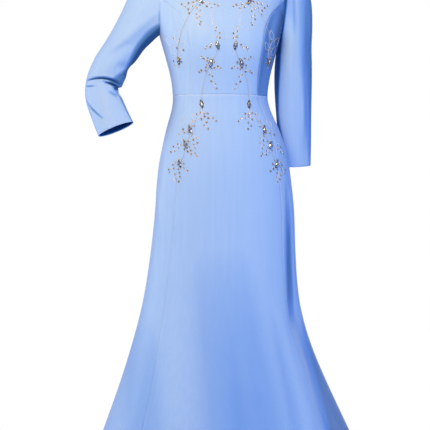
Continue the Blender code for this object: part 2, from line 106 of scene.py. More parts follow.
# Flat cut of each panel: what it hangs from, width and length of its cloth, and area of the cut.
# A name with a gap in it stands for a left and a right panel
Cut = namedtuple("Cut", "node hangs_from width length area")
PATTERN = (
    Cut("bodice_centre_front", "bodice_centre_back_left", 0.370, 0.390, 0.104),
    Cut("bodice_centre_back_{}", "bodice_centre_front", 0.190, 0.430, 0.057),
    Cut("bodice_side_front_{}", "bodice_centre_front", 0.150, 0.260, 0.024),
    Cut("bodice_side_back_{}", "bodice_centre_back_{}", 0.150, 0.260, 0.023),
    Cut("skirt_centre_front", "bodice_centre_front", 0.640, 1.090, 0.434),
    Cut("skirt_side_front_{}", "bodice_side_front_{}", 0.230, 1.100, 0.148),
    Cut("skirt_side_back_{}", "bodice_side_back_{}", 0.300, 1.100, 0.190),
    Cut("skirt_centre_back_{}", "bodice_centre_back_{}", 0.310, 1.110, 0.207),
    Cut("sleeve_bent", "bodice_centre_front", 0.400, 0.480, 0.123),
    Cut("sleeve_hanging", "bodice_centre_front", 0.390, 0.520, 0.129),
)
CUTS = tuple(
    Cut(cut.node.format(side), cut.hangs_from.format(side), *cut[2:])
    for cut in PATTERN
    for side in (("left", "right") if "{}" in cut.node else ("",))
)

# Soft folds, each a line across one face from (x0, z0) to (x1, z1). A minus depth makes a ridge, a round
# fold goes all round the cloth, and shade is how much the hollow of the fold is shut off from light.
# A fold without depth is a part of the skirt or the sleeve that only lies a little in the shade
Fold = namedtuple("Fold", "cloth face x0 z0 x1 z1 bow width depth shade")
FOLDS = tuple(
    Fold(cloth, face, *row)
    for cloth, face, rows in (
        ("sleeve_bent", "front", (
            (-0.359, -0.369, -0.26, -0.38, 0.013, 0.0042, 0.0076, 1.0),
            (-0.308, -0.3665, -0.264, -0.3835, 0.0022, 0.003, -0.003, 0.0),
            (-0.305, -0.3725, -0.259, -0.391, 0.003, 0.0038, 0.0072, 1.0),
            (-0.362, -0.38, -0.332, -0.3822, -0.0012, 0.0028, 0.0026, 0.55),
            (-0.294, -0.396, -0.268, -0.409, 0.001, 0.0075, 0.003, 0.34),
            (-0.357, -0.413, -0.311, -0.47, -0.0052, 0.0032, 0.0038, 0.6),
        )),
        ("sleeve_bent", "round", (
            (-0.282, -0.3875, -0.23, -0.39, 0.0, 0.0034, 0.0078, 0.5),
            (-0.286, -0.396, -0.225, -0.398, 0.0, 0.008, 0.0052, 0.0),
            (-0.276, -0.329, -0.216, -0.342, 0.0, 0.012, 0.0056, 0.0),
        )),
        ("sleeve_bent", "front", (
            (-0.178, -0.196, -0.308, -0.298, 0.004, 0.014, -0.0028, 0.0),
            (-0.235, -0.272, -0.318, -0.322, -0.004, 0.015, 0.0022, 0.06),
        )),
        ("sleeve_bent", "round", (
            (-0.17, -0.245, -0.234, -0.323, 0.0, 0.015, -0.0062, 0.0),
            (-0.23, -0.085, -0.32, -0.3, 0.0, 0.026, 0.0085, 0.0),
        )),
        ("sleeve_bent", "back", (
            (-0.346, -0.352, -0.276, -0.364, 0.006, 0.005, 0.005, 0.6),
            (-0.31, -0.395, -0.268, -0.388, -0.003, 0.0045, 0.0036, 0.45),
            (-0.34, -0.412, -0.302, -0.456, 0.004, 0.0036, 0.0022, 0.25),
            (-0.225, -0.2, -0.3, -0.3, 0.006, 0.015, 0.0022, 0.15),
        )),
        ("sleeve_hanging", "front", (
            (0.208, -0.09, 0.208, -0.36, 0.0, 0.03, 0.0, 0.19),
            (0.1935, -0.1, 0.196, -0.24, 0.002, 0.006, 0.0014, 0.12),
            (0.24, -0.08, 0.238, -0.415, -0.005, 0.01, 0.0024, 0.0),
            (0.236, -0.4, 0.24, -0.56, 0.002, 0.009, 0.002, 0.1),
        )),
        ("sleeve_hanging", "back", (
            (0.188, -0.326, 0.226, -0.396, 0.005, 0.0105, 0.0036, 0.13),
            (0.193, -0.426, 0.232, -0.374, 0.004, 0.009, 0.0028, 0.1),
        )),
        ("trunk", "front", (
            (0.175, -0.65, 0.18, -1.03, 0.0, 0.013, 0.005, 0.26),
            (0.176, -0.7, 0.1785, -0.99, 0.0, 0.0115, 0.0, 0.32),
            (0.1768, -0.74, 0.178, -0.96, 0.0, 0.0105, 0.0, 0.34),
            (0.19, -0.97, 0.248, -1.3, 0.006, 0.018, 0.005, 0.15),
            (0.128, -1.0, 0.176, -1.43, 0.01, 0.024, 0.004, 0.1),
            (-0.168, -0.64, -0.153, -0.84, -0.002, 0.0065, -0.0016, 0.0),
            (-0.118, -0.84, -0.142, -1.3, 0.006, 0.024, -0.0035, 0.0),
            (-0.19, -1.06, -0.262, -1.44, 0.008, 0.022, 0.0045, 0.02),
            (0.01, -1.06, 0.02, -1.45, 0.006, 0.026, 0.003, 0.03),
            (0.03, -1.14, 0.06, -2.04, 0.0, 0.11, 0.0, 0.09),
            (-0.02, -0.8, 0.052, -1.5, 0.0, 0.188, 0.0, 0.27),
            (-0.205, -0.97, -0.242, -1.5, 0.0, 0.078, 0.0, 0.24),
            (-0.14, -0.252, -0.122, -0.33, 0.004, 0.009, 0.001, 0.0),
            (0.133, -0.19, 0.099, -0.41, -0.005, 0.01, 0.003, 0.12),
            (-0.126, -0.195, -0.099, -0.41, 0.005, 0.01, 0.002, 0.0),
        )),
        ("trunk", "back", (
            (0.144, -0.69, 0.176, -1.06, 0.007, 0.021, 0.005, 0.2),
            (-0.14, -0.73, -0.17, -1.14, 0.008, 0.023, 0.0046, 0.17),
            (0.06, -0.82, 0.092, -1.3, 0.008, 0.02, -0.0035, 0.0),
            (-0.072, -0.78, -0.11, -1.24, 0.008, 0.02, -0.003, 0.0),
            (0.08, -0.395, 0.03, -0.42, 0.003, 0.007, 0.0014, 0.15),
            (-0.085, -0.392, -0.028, -0.424, 0.004, 0.008, 0.0015, 0.15),
        )),
    )
    for row in rows
)

# Sides of the cloth that turn away from light, to the left of a line as seen along its own way. Soft is
# how gently one begins, fade how far it goes on past the ends, and turn how far round to the side
Lee = namedtuple("Lee", "cloth face soft shade line fade turn", defaults=(0.012, 0.02))
LEES = (
    Lee("sleeve_bent", "round", 0.013, 0.64, (
        (-0.164, -0.22), (-0.17, -0.2225), (-0.193, -0.237), (-0.209, -0.256), (-0.224, -0.275),
        (-0.236, -0.3), (-0.243, -0.32), (-0.247, -0.336), (-0.254, -0.345),
    )),
    Lee("sleeve_bent", "round", 0.01, 0.93, (
        (-0.164, -0.229), (-0.176, -0.239), (-0.19, -0.251), (-0.204, -0.266), (-0.215, -0.281),
        (-0.225, -0.299), (-0.24, -0.33), (-0.25, -0.345),
    )),
    Lee("sleeve_bent", "front", 0.016, 0.7, (
        (-0.25, -0.338), (-0.268, -0.35), (-0.29, -0.368),
    )),
    Lee("sleeve_bent", "front", 0.003, 0.66, (
        (-0.264, -0.415), (-0.252, -0.443), (-0.2335, -0.48),
    )),
    Lee("sleeve_hanging", "round", 0.006, 0.96, (
        (0.19, -0.59), (0.182, -0.54), (0.166, -0.47), (0.162, -0.4), (0.163, -0.31), (0.1655, -0.25),
        (0.169, -0.211), (0.1745, -0.153),
    )),
    Lee("sleeve_hanging", "front", 0.04, 0.6, (
        (0.2245, -0.1), (0.2205, -0.2), (0.22, -0.28), (0.227, -0.36), (0.237, -0.46), (0.25, -0.54),
        (0.262, -0.62),
    )),
    Lee("bodice_side_front_left", "front", 0.004, 0.53, (
        (0.156, -0.155), (0.124, -0.198), (0.108, -0.23), (0.099, -0.27), (0.094, -0.312),
        (0.089, -0.41),
    )),
    Lee("bodice_side_front_left", "round", 0.02, 0.92, (
        (0.156, -0.19), (0.148, -0.222), (0.139, -0.254), (0.135, -0.28), (0.132, -0.317),
        (0.132, -0.342),
    )),
    Lee("bodice_centre_front", "front", 0.01, 0.16, (
        (0.124, -0.198), (0.106, -0.232), (0.096, -0.27), (0.09, -0.312), (0.085, -0.41),
    )),
    Lee("trunk", "front", 0.042, 0.6, (
        (0.23, -0.92), (0.215, -1.0), (0.218, -1.06), (0.224, -1.1), (0.234, -1.16), (0.244, -1.213),
        (0.25, -1.27), (0.26, -1.4), (0.27, -1.56),
    ), 0.12, 0.12),
)

# Beaded sprays of one side; the other side mirrors them. Headings are in degrees from straight down,
# plus to the side seam. Where a spray starts is the name of a crystal
Spray = namedtuple("Spray", "start heading length bow beads spread")
SPRAYS = (
    Spray("yoke", 4, 0.064, 0.006, 7, 0.0045),
    Spray("yoke", 78, 0.050, -0.006, 5, 0.0050),
    Spray("yoke", 42, 0.046, 0.008, 4, 0.0040),
    Spray("yoke", -72, 0.046, 0.006, 5, 0.0048),
    Spray("yoke", 172, 0.030, 0.003, 3, 0.0040),
    Spray("yoke", 104, 0.046, 0.006, 5, 0.0046),
    Spray("yoke", -104, 0.044, -0.005, 5, 0.0042),
    Spray("shoulder", 168, 0.060, 0.010, 4, 0.0065),
    Spray("shoulder", -10, 0.014, 0.001, 1, 0.0000),
    Spray("breast", 176, 0.046, 0.003, 5, 0.0042),
    Spray("breast", 74, 0.034, 0.004, 4, 0.0030),
    Spray("rib", 52, 0.036, -0.004, 4, 0.0036),
    Spray("rib", -66, 0.028, 0.003, 3, 0.0030),
    Spray("rib", -14, 0.066, 0.006, 5, 0.0034),
    Spray("rib", 126, 0.030, 0.003, 3, 0.0034),
    Spray("waist", -36, 0.056, 0.008, 5, 0.0036),
    Spray("waist", -8, 0.066, 0.005, 6, 0.0046),
    Spray("waist", 34, 0.090, -0.008, 7, 0.0055),
    Spray("hip", -12, 0.050, -0.005, 6, 0.0052),
    Spray("hip", 66, 0.030, 0.004, 3, 0.0030),
    Spray("flank", 62, 0.040, 0.006, 5, 0.0050),
    Spray("flank", -44, 0.040, 0.005, 5, 0.0040),
    Spray("thigh", 48, 0.032, 0.004, 4, 0.0040),
    Spray("thigh", 2, 0.046, 0.004, 6, 0.0054),
    Spray("thigh", -46, 0.026, -0.002, 2, 0.0028),
)

# Crystals of one side, from the top down
CRYSTALS = ("yoke", "shoulder", "breast", "rib", "waist", "hip", "flank", "thigh")
MARQUISE_SIDES = 14
MARQUISE_LENGTH = 1.2  # of the stone as modelled, with both points
STONE_LIFT = 0.0002  # least height above the cloth

# Rings of small beads round a crystal
Ring = namedtuple("Ring", "centre beads radius")
RINGS = (
    Ring("yoke", 5, 0.0125),
    Ring("shoulder", 6, 0.0105),
    Ring("rib", 8, 0.0140),
    Ring("hip", 4, 0.0125),
    Ring("flank", 5, 0.0130),
    Ring("thigh", 7, 0.0125),
)

# Corded stems that run between crystals, with how far each bows to the side seam
Stem = namedtuple("Stem", "start end bow")
STEMS = (
    Stem("yoke", "shoulder", 0.020),
    Stem("breast", "rib", -0.004),
    Stem("rib", "waist", 0.006),
    Stem("waist", "hip", -0.004),
    Stem("hip", "flank", -0.003),
    Stem("flank", "thigh", -0.004),
)

# Scrolls of pale thread: reach from the centre line and height of both ends, and bow
Scroll = namedtuple("Scroll", "reach0 height0 reach1 height1 bow")
SCROLLS = (
    Scroll(0.052, -0.170, 0.040, -0.236, -0.012),
    Scroll(0.040, -0.236, 0.072, -0.232, -0.010),
    Scroll(0.036, -0.186, 0.030, -0.238, 0.006),
    Scroll(0.016, -0.266, 0.000, -0.2675, -0.003),
)

# Leaves outlined in thread: the crystal they stand by, offsets out and up, turn and length
Leaf = namedtuple("Leaf", "by out up turn length")
LEAVES = (
    Leaf("shoulder", 0.012, 0.030, 20, 0.024),
    Leaf("shoulder", -0.010, 0.040, -24, 0.022),
    Leaf("shoulder", 0.020, 0.054, 26, 0.026),
    Leaf("shoulder", 0.004, 0.070, -14, 0.024),
    Leaf("waist", 0.004, -0.026, -10, 0.020),
    Leaf("waist", 0.020, -0.034, 32, 0.022),
    Leaf("hip", 0.016, 0.018, 150, 0.022),
    Leaf("thigh", 0.004, -0.040, 8, 0.022),
)

# Beads and crystals
BEAD_RADIUS = 0.0029
BEAD_SPACING = 2.2 * BEAD_RADIUS
STONE_RADIUS = 0.0021
SETTING_HEIGHT = 0.0014
STONE_HEIGHT = 0.0013
BEAD_SIDES = 8
SPRAY_STEPS = 12
SPRAY_BARE = 0.22  # share of a spray without beads, beside its crystal
BEAD_STRAY = 0.0006
LEAF_STEPS = 20
RIM_RADIUS = 0.0007
CLAW_RADIUS = 0.0009
RIM_LIFT = 0.0008
RIM_STEP = 0.0008  # corners of the rim that lie nearer than this are one
GIRDLE_BAND = 0.0022  # the part of a crystal above the cloth that the rim follows

# Claws at the points and at the flanks: how far out the foot stands, how high it rises, how far over the
# stone it bends, and how high its end is
CLAW_SHAPES = ((1.03, 0.0016, 0.94, 0.0026), (1.12, 0.0018, 0.90, 0.0030))

# Seams
SHADED_SEAM = {"bodice_centre_front", "bodice_side_front_left"}  # lies in the shade of the breast
STITCH_PITCH = 0.0028
STITCH_NECK = 0.72  # thickness where two stitches meet
STITCH_SINK = 0.00005
CORNER_REACH = 0.045  # seams that end nearer than this to each other meet
CORNER_GAP = 0.0006  # a smaller gap between them needs no backing
CORNER_OVERLAP = 0.0024
CORNER_DEPTH = 0.0006
STEM_STEPS = 24
SCROLL_STEPS = 16

# Threads: the dark and the light of the twist as linear colours, then how rough and how thick it is
Thread = namedtuple("Thread", "name dark light roughness radius")
THREADS = {
    "panel": Thread("sewing thread", (0.280, 0.460, 0.850), (0.345, 0.530, 0.890), 0.6, 0.00042),
    "waist": Thread("waist seam thread", (0.520, 0.660, 0.930), (0.820, 0.890, 1.000), 0.6, 0.00042),
    # This seam's thread is painted dark: a painted shadow of the seam's groove
    "shaded": Thread("seam thread painted dark as shadow", (0.045, 0.120, 0.310), (0.090, 0.200, 0.440), 0.7, 0.00070),
    "stem": Thread("stem cord", (0.260, 0.250, 0.330), (0.560, 0.530, 0.610), 0.5, 0.00056),
    "scroll": Thread("pale scroll thread", (0.520, 0.540, 0.700), (0.860, 0.820, 0.880), 0.5, 0.00050),
}
SEAM_KINDS = ("panel", "waist", "shaded")

# Zip
COIL_PITCH = 0.0019
COIL_WIDTH = 0.0034
ZIP_END = -0.640
COIL_DEPTH = 0.0024
COIL_RADIUS = 0.0004
# Where the centre back seam runs beside the slider's line: heights below the neck point, and how far
SEAM_DROPS = (0.41, 0.49, 0.60, 0.71)
SEAM_SHIFTS = (0.0005, 0.007, 0.011, 0.013)

# Colours of cloth and metal, as linear values
CREPE_LIGHT = (0.385, 0.575, 0.930)
CREPE_DEEP = (0.320, 0.515, 0.900)
# Pale line beside the seams: a painted highlight where the pressed edges would catch light
CREPE_SEAM_HIGHLIGHT = (0.560, 0.700, 0.950)
SHEEN_TINT = (0.80, 0.88, 1.0)

# The cloth's colour as light is shut off: from where, up to where, and the colour there
CREPE_SHADES = (
    (0.08, 0.40, (0.170, 0.360, 0.820)),
    (0.38, 0.70, (0.085, 0.225, 0.500)),
    (0.66, 1.00, (0.006, 0.085, 0.280)),
)
SILVER_DARK = (0.060, 0.060, 0.070)
SILVER_LIGHT = (0.620, 0.600, 0.590)
CUP_DARK = (0.300, 0.290, 0.300)
CUP_LIGHT = (0.900, 0.880, 0.870)

# Tones of the facets, each with the place on the scale at which it starts. On the clear crystal all are
# painted reflections and glints; on the champagne stone the darkest and palest facets are painted
# reflections and glints, and the browns between are its own colour
TOPAZ_TONES_AND_GLINTS = (
    (0.00, (0.030, 0.018, 0.014)),
    (0.22, (0.130, 0.085, 0.060)),
    (0.44, (0.460, 0.210, 0.070)),
    (0.58, (0.340, 0.240, 0.160)),
    (0.76, (0.640, 0.480, 0.340)),
    (0.88, (0.950, 0.860, 0.740)),
)
CRYSTAL_REFLECTIONS = (
    (0.00, (0.020, 0.022, 0.030)),
    (0.26, (0.220, 0.110, 0.045)),
    (0.42, (0.240, 0.260, 0.320)),
    (0.62, (0.560, 0.600, 0.680)),
    (0.80, (1.000, 1.000, 1.000)),
)

# Studio
FLOOR_HEIGHT = -1.500
FLOOR_RADIUS = 1.55
FLOOR_TONES = ((0.62, 0.62, 0.62), (0.68, 0.68, 0.68))
Lamp = namedtuple("Lamp", "name place aim size power colour")
AMBIENT_COLOUR = (0.17, 0.31, 1.0)
AMBIENT_STRENGTH = 0.46
LAMPS = (
    Lamp("key", (-0.5, -1.3, 0.6), (0.0, 0.0, -0.25), 0.7, 23.0, (1.0, 0.67, 0.18)),
    Lamp("near", (-0.75, -1.75, 0.05), (0.0, 0.0, -0.25), 0.7, 10.2, (1.0, 0.70, 0.16)),
    Lamp("front", (0.2, -2.8, 0.1), (0.0, 0.0, -0.40), 1.2, 22.0, (0.25, 0.66, 1.0)),
    Lamp("low", (1.1, -1.3, -0.7), (0.2, 0.0, -0.50), 0.6, 5.0, (0.70, 0.85, 1.0)),
    Lamp("side", (-2.6, 0.40, -0.55), (0.0, 0.0, -0.35), 0.9, 30.0, (0.94, 0.97, 0.80)),
    Lamp("back", (1.6, 3.0, 0.6), (0.0, 0.0, -0.60), 1.8, 80, (0.95, 0.93, 0.66)),
)

random.seed(7)


def only(piece):
    """Make a piece the one selected and active object."""
    bpy.ops.object.select_all(action="DESELECT")
    piece.select_set(True)
    bpy.context.view_layer.objects.active = piece


def new_piece(name, mesh):
    """A piece of the gown from a finished mesh or curve."""
    piece = bpy.data.objects.new(name, mesh)
    bpy.context.scene.collection.objects.link(piece)
    return piece


def edit(piece, kind, wanted):
    """Start editing a piece with only the wanted vertices or faces selected."""
    only(piece)
    bpy.ops.object.mode_set(mode="EDIT")
    bpy.ops.mesh.select_mode(type=kind)
    bpy.ops.mesh.select_all(action="DESELECT")
    bpy.ops.object.mode_set(mode="OBJECT")
    for item in piece.data.vertices if kind == "VERT" else piece.data.polygons:
        item.select = wanted(item)
    bpy.ops.object.mode_set(mode="EDIT")


def looks_up(face):
    return face.normal.z > 0.9


def put_layer(mesh, name, kind, values):
    """Give each vertex of a mesh a number (kind "value") or a vector (kind "vector")."""
    layer = mesh.attributes.new(name, "FLOAT" if kind == "value" else "FLOAT_VECTOR", "POINT")
    layer.data.foreach_set(kind, np.asarray(values, np.float32).ravel())


def joined_tree(parts):
    """One search tree of several meshes, each given with the faces of it that count."""
    spots, faces = [], []
    for mesh, own in parts:
        base = len(spots)
        spots += [vertex.co.copy() for vertex in mesh.vertices]
        faces += [tuple(base + k for k in face) for face in own]
    return BVHTree.FromPolygons(spots, faces)


def faces_of(mesh):
    return [tuple(face.vertices) for face in mesh.polygons]


def points_of(piece):
    """The places of all vertices, as rows of x, y and z."""
    flat = np.zeros(len(piece.data.vertices) * 3, np.float32)
    piece.data.vertices.foreach_get("co", flat)
    return flat.reshape(-1, 3).astype(float)


def put_points(piece, points):
    piece.data.vertices.foreach_set("co", points.astype(np.float32).ravel())
    piece.data.update()


def axis_near(path, points):
    """For each point: the nearest place on a path, how far along it is, and the path's direction."""
    best = np.full(len(points), 1e9)
    place = np.zeros_like(points)
    along = np.zeros(len(points))
    heading = np.zeros_like(points)
    run = 0.0
    for start, end in zip(path, path[1:]):
        a, d = np.array(start), np.array(end - start)
        length = np.linalg.norm(d)
        t = np.clip((points - a) @ d / length**2, 0, 1)
        foot = a + t[:, None] * d
        gap = np.linalg.norm(points - foot, axis=1)
        nearer = gap < best
        best[nearer] = gap[nearer]
        place[nearer] = foot[nearer]
        along[nearer] = run + t[nearer] * length
        heading[nearer] = d / length
        run += length
    return place, along, heading


def path_of(node):
    """The path that a panel or a sleeve hangs round."""
    return AXES.get(node, TRUNK)


def cloth_of(node):
    """Panels share the folds of the trunk, and each sleeve has its own."""
    return node if node in AXES else "trunk"


def outward(node, points):
    """Unit vectors from the middle of the arm or trunk out to each point."""
    place, _, heading = axis_near(path_of(node), points)
    out = points - place
    out -= (out * heading).sum(1)[:, None] * heading
    return out / np.maximum(np.linalg.norm(out, axis=1), 1e-6)[:, None]


def cloth_shell(node, blockers):
    """A finer shell of one panel or sleeve, with its cut edges in material place 1."""
    piece = new_piece(f"{node}_cloth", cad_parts[node].data.copy())
    piece.data.materials.clear()
    only(piece)
    bpy.ops.mesh.customdata_custom_splitnormals_clear()
    bpy.ops.object.mode_set(mode="EDIT")
    bpy.ops.mesh.select_all(action="SELECT")
    bpy.ops.mesh.remove_doubles(threshold=MERGE)
    bpy.ops.mesh.tris_convert_to_quads(
        face_threshold=math.radians(60), shape_threshold=math.radians(100), topology_influence=1.5
    )
    bpy.ops.mesh.select_all(action="DESELECT")
    bpy.ops.mesh.select_mode(type="EDGE")
    bpy.ops.mesh.edges_select_sharp(sharpness=CUT_ANGLE)
    bpy.ops.transform.edge_crease(value=1)
    bpy.ops.object.mode_set(mode="OBJECT")
    mark_cut_edges(piece.data)
    lay_shade(node, piece, blockers)
    finer = piece.modifiers.new("finer", "SUBSURF")
    finer.levels = SLEEVE_FINENESS if node in AXES else FINENESS
    finer.render_levels = finer.levels
    bpy.ops.object.modifier_apply(modifier=finer.name)
    return piece


def half_sphere(count):
    """Directions spread over a half sphere about +Z, denser to its top, a golden angle apart."""
    made = []
    for k in range(count):
        height = math.sqrt(1 - (k + 0.5) / count)
        turn = k * GOLDEN_ANGLE
        wide = math.sqrt(1 - height * height)
        made.append(Vector((wide * math.cos(turn), wide * math.sin(turn), height)))
    return made


def lay_shade(node, piece, blockers):
    """Attribute "shade": dark on the lining, and the light that cloth shuts off on the outer side."""
    rays = half_sphere(SHADE_RAYS)
    mesh = piece.data
    out = outward(node, points_of(piece))
    shade = np.zeros(len(out), np.float32)
    for k, vertex in enumerate(mesh.vertices):
        normal = vertex.normal
        if normal.dot(Vector(out[k])) < -0.1:
            shade[k] = 1.0 if node in AXES else LINING_SHADE
            continue
        turn = normal.to_track_quat("Z", "Y")
        met = 0.0
        for way in rays:
            _, _, _, gap = blockers.ray_cast(vertex.co + normal * SHADE_LIFT, turn @ way, SHADE_REACH)
            if gap is not None:
                met += 1 - gap / SHADE_REACH
        shade[k] = met / len(rays) * SHADE_SHARE.get(node, 1.0)
    put_layer(mesh, "shade", "value", shade)


def mark_cut_edges(mesh):
    """Give the faces across the cut edge of the cloth material place 1, and all others place 0."""
    crease = mesh.attributes["crease_edge"].data
    index = {edge.key: edge.index for edge in mesh.edges}
    for face in mesh.polygons:
        keys = face.edge_keys
        sharp = sum(crease[index[key]].value > BORDER_CREASE for key in keys)
        shortest = min((mesh.vertices[a].co - mesh.vertices[b].co).length for a, b in keys)
        face.material_index = 1 if sharp >= 2 and shortest < WALL_WIDTH else 0


def outer_faces(node, piece):
    """The faces of the outer side, told from those of the lining by which way they look."""
    mesh = piece.data
    joined = list(range(len(mesh.vertices)))

    def root(k):
        while joined[k] != k:
            joined[k] = joined[joined[k]]
            k = joined[k]
        return k

    cloth_faces = [face for face in mesh.polygons if face.material_index == 0]
    for face in cloth_faces:
        first = root(face.vertices[0])
        for k in face.vertices[1:]:
            joined[root(k)] = first
    centres = np.array([face.center for face in cloth_faces])
    looks = (np.array([face.normal for face in cloth_faces]) * outward(node, centres)).sum(1)
    totals = {}
    for face, look in zip(cloth_faces, looks):
        key = root(face.vertices[0])
        totals[key] = totals.get(key, 0.0) + look * face.area
    outer = max(totals, key=totals.get)
    return [tuple(face.vertices) for face in cloth_faces if root(face.vertices[0]) == outer]


def eased(line):
    """A line with its corners cut off twice."""
    line = [np.array(point) for point in line]
    for _ in range(2):
        cut = [line[0]]
        for start, end in zip(line, line[1:]):
            cut += [start * 0.75 + end * 0.25, start * 0.25 + end * 0.75]
        line = cut + [line[-1]]
    return line


def left_of(line, flat):
    """How far each flat point lies left of a line, seen along its own way, and how far past its ends."""
    best = np.full(len(flat), 1e9)
    beyond = np.zeros(len(flat))
    past = np.zeros(len(flat))
    last = len(line) - 2
    for k, (start, end) in enumerate(zip(line, line[1:])):
        way = end - start
        length = np.linalg.norm(way)
        offset = flat - start
        share = offset @ way / length**2
        held = np.clip(share, 0, 1)
        gap = np.linalg.norm(offset - held[:, None] * way, axis=1)
        side = np.sign(offset @ np.array((-way[1], way[0])))
        over = np.zeros(len(flat))
        if k == 0:
            over = np.maximum(over, -share)
        if k == last:
            over = np.maximum(over, share - 1)
        nearer = gap < best
        best[nearer] = gap[nearer]
        beyond[nearer] = (side * gap)[nearer]
        past[nearer] = (over * length)[nearer]
    return beyond, past


def across_fold(fold, points, place):
    """How far along a fold each point lies, how far out of it, and how fully on the fold's side."""
    start = np.array((fold.x0, fold.z0))
    line = np.array((fold.x1, fold.z1)) - start
    length = np.linalg.norm(line)
    across = np.array((-line[1], line[0])) / length
    flat = points[:, (0, 2)] - start
    share = flat @ line / length**2
    inside = np.clip(share, 0, 1)
    away = flat @ across - fold.bow * 4 * inside * (1 - inside)
    past = (share - inside) * length
    spread = fold.width * (0.7 + 0.6 * inside)
    reach = (away / spread) ** 2 + (past / (2 * fold.width)) ** 2
    facing = np.ones(len(points))
    if fold.face != "round":
        side = -1 if fold.face == "front" else 1
        facing = np.clip((points[:, 1] - place[:, 1]) * side / FACE_TURN + 0.3, 0, 1)
    return inside, reach, facing


def refine_folds(node, piece):
    """Cut the outer face finer along the narrow folds of this cloth, so that they bend smoothly."""
    points = points_of(piece)
    place, _, _ = axis_near(path_of(node), points)
    near = np.zeros(len(points), bool)
    for fold in FOLDS:
        if fold.cloth == cloth_of(node) and fold.width < FINE_FOLD:
            _, reach, facing = across_fold(fold, points, place)
            near |= (reach < FINE_REACH) & (facing > 0.5)
    normals = np.zeros(len(points) * 3, np.float32)
    piece.data.vertex_normals.foreach_get("vector", normals)
    near &= (normals.reshape(-1, 3) * outward(node, points)).sum(1) > 0.1
    if near.any():
        edit(piece, "VERT", lambda vertex: bool(near[vertex.index]))
        bpy.ops.mesh.subdivide(number_cuts=2)
        bpy.ops.object.mode_set(mode="OBJECT")


def fold_cloth(node, piece):
    """Press the soft folds of this cloth into it. Attribute "lee" is the shade of hollows and lees."""
    points = points_of(piece)
    place, _, _ = axis_near(path_of(node), points)
    out = outward(node, points)
    lit = np.ones(len(points))
    for fold in FOLDS:
        if fold.cloth != cloth_of(node):
            continue
        inside, reach, facing = across_fold(fold, points, place)
        ends = np.sqrt(np.clip(4 * inside * (1 - inside), 0, 1))
        strength = ends**2 if fold.face == "round" else (0.25 + 0.75 * ends) * facing
        ridge = 0.0 if fold.face == "round" else RIDGE
        depth = fold.depth * (1 - ridge * reach) * np.exp(-reach / FOLD_FALL) * strength
        points -= out * depth[:, None]
        hollow = np.clip(1.5 - 1.25 * np.sqrt(reach), 0, 1) ** 1.5
        lit *= 1 - fold.shade * hollow * strength
    for lee in LEES:
        if lee.cloth not in (node, cloth_of(node)):
            continue
        beyond, past = left_of(eased(lee.line), points[:, (0, 2)])
        cover = np.clip(beyond / lee.soft + 0.5, 0, 1) * np.clip(1 - past / lee.fade, 0, 1)
        turned = 1.0
        if lee.face == "front":
            turned = np.clip((place[:, 1] - points[:, 1]) / lee.turn + 0.5, 0, 1)
        lit *= 1 - lee.shade * cover**2 * (3 - 2 * cover) * turned
    put_points(piece, points)
    put_layer(piece.data, "lee", "value", 1 - lit)


def lay_grain(node, piece):
    """Attribute "grain" runs along the trunk or the arm, and "edge" is the way to the cut edge."""
    points = grain = points_of(piece)
    if node in AXES:
        place, along, heading = axis_near(path_of(node), points)
        out = points - place
        across = np.cross(heading, (0.0, -1.0, 0.0))
        across /= np.linalg.norm(across, axis=1)[:, None]
        grain = np.stack(((out * across).sum(1), out[:, 1], -along), axis=1)
    mesh = piece.data
    cut_edges = [tuple(face.vertices) for face in mesh.polygons if face.material_index == 1]
    tree = joined_tree([(mesh, cut_edges)])
    put_layer(mesh, "grain", "vector", grain)
    put_layer(mesh, "edge", "value", [tree.find_nearest(Vector(point))[3] for point in points])


def border_of(faces):
    """The edges that only one of the faces has, as pairs of vertex numbers."""
    count = {}
    for face in faces:
        for a, b in zip(face, face[1:] + face[:1]):
            key = (min(a, b), max(a, b))
            count[key] = count.get(key, 0) + 1
    return [key for key, used in count.items() if used == 1]


def chains(keys):
    """Strings of vertex numbers from loose edges."""
    links = {}
    for a, b in keys:
        links.setdefault(a, []).append(b)
        links.setdefault(b, []).append(a)
    left = {tuple(sorted(key)) for key in keys}
    made = []
    while left:
        single = (
            k for k, near in links.items() if sum(tuple(sorted((k, n))) in left for n in near) == 1
        )
        here = next(single, None)
        if here is None:
            here = next(iter(left))[0]
        chain = [here]
        while True:
            step = next((n for n in links[here] if tuple(sorted((here, n))) in left), None)
            if step is None:
                break
            left.discard(tuple(sorted((here, step))))
            chain.append(step)
            here = step
        made.append(chain)
    return made


def seam_lines(pieces):
    """The line of each seam, between the borders of two pieces that lie close together."""
    lines = []
    names = list(pieces)
    trees = {
        name: joined_tree([(item["piece"].data, [(a, b, b) for a, b in item["border"]])])
        for name, item in pieces.items()
    }
    for i, name in enumerate(names):
        mesh = pieces[name]["piece"].data
        for other in names[i + 1 :]:
            met = {}
            for k in {k for key in pieces[name]["border"] for k in key}:
                found = trees[other].find_nearest(mesh.vertices[k].co, SEAM_REACH)
                if found[0] is not None:
                    met[k] = (mesh.vertices[k].co + found[0]) / 2, mesh.vertices[k].normal.copy()
            keys = [key for key in pieces[name]["border"] if key[0] in met and key[1] in met]
            for chain in chains(keys):
                if len(chain) > 2:
                    lines.append((name, other, [met[k] for k in chain]))
    return lines


def tube_piece(name, lines, radius, roundness=1, swell=(1.0,)):
    """One mesh of thin tubes along lines of points. Swell is their thickness, from point to point."""
    curve = bpy.data.curves.new(name, "CURVE")
    curve.dimensions = "3D"
    curve.bevel_depth = radius
    curve.bevel_resolution = roundness
    curve.use_fill_caps = True
    for line in lines:
        spline = curve.splines.new("POLY")
        spline.points.add(len(line) - 1)
        for k, point in enumerate(line):
            spline.points[k].co = (*point, 1)
            spline.points[k].radius = swell[k % len(swell)]
    piece = new_piece(name, curve)
    only(piece)
    bpy.ops.object.convert(target="MESH")
    return bpy.context.view_layer.objects.active


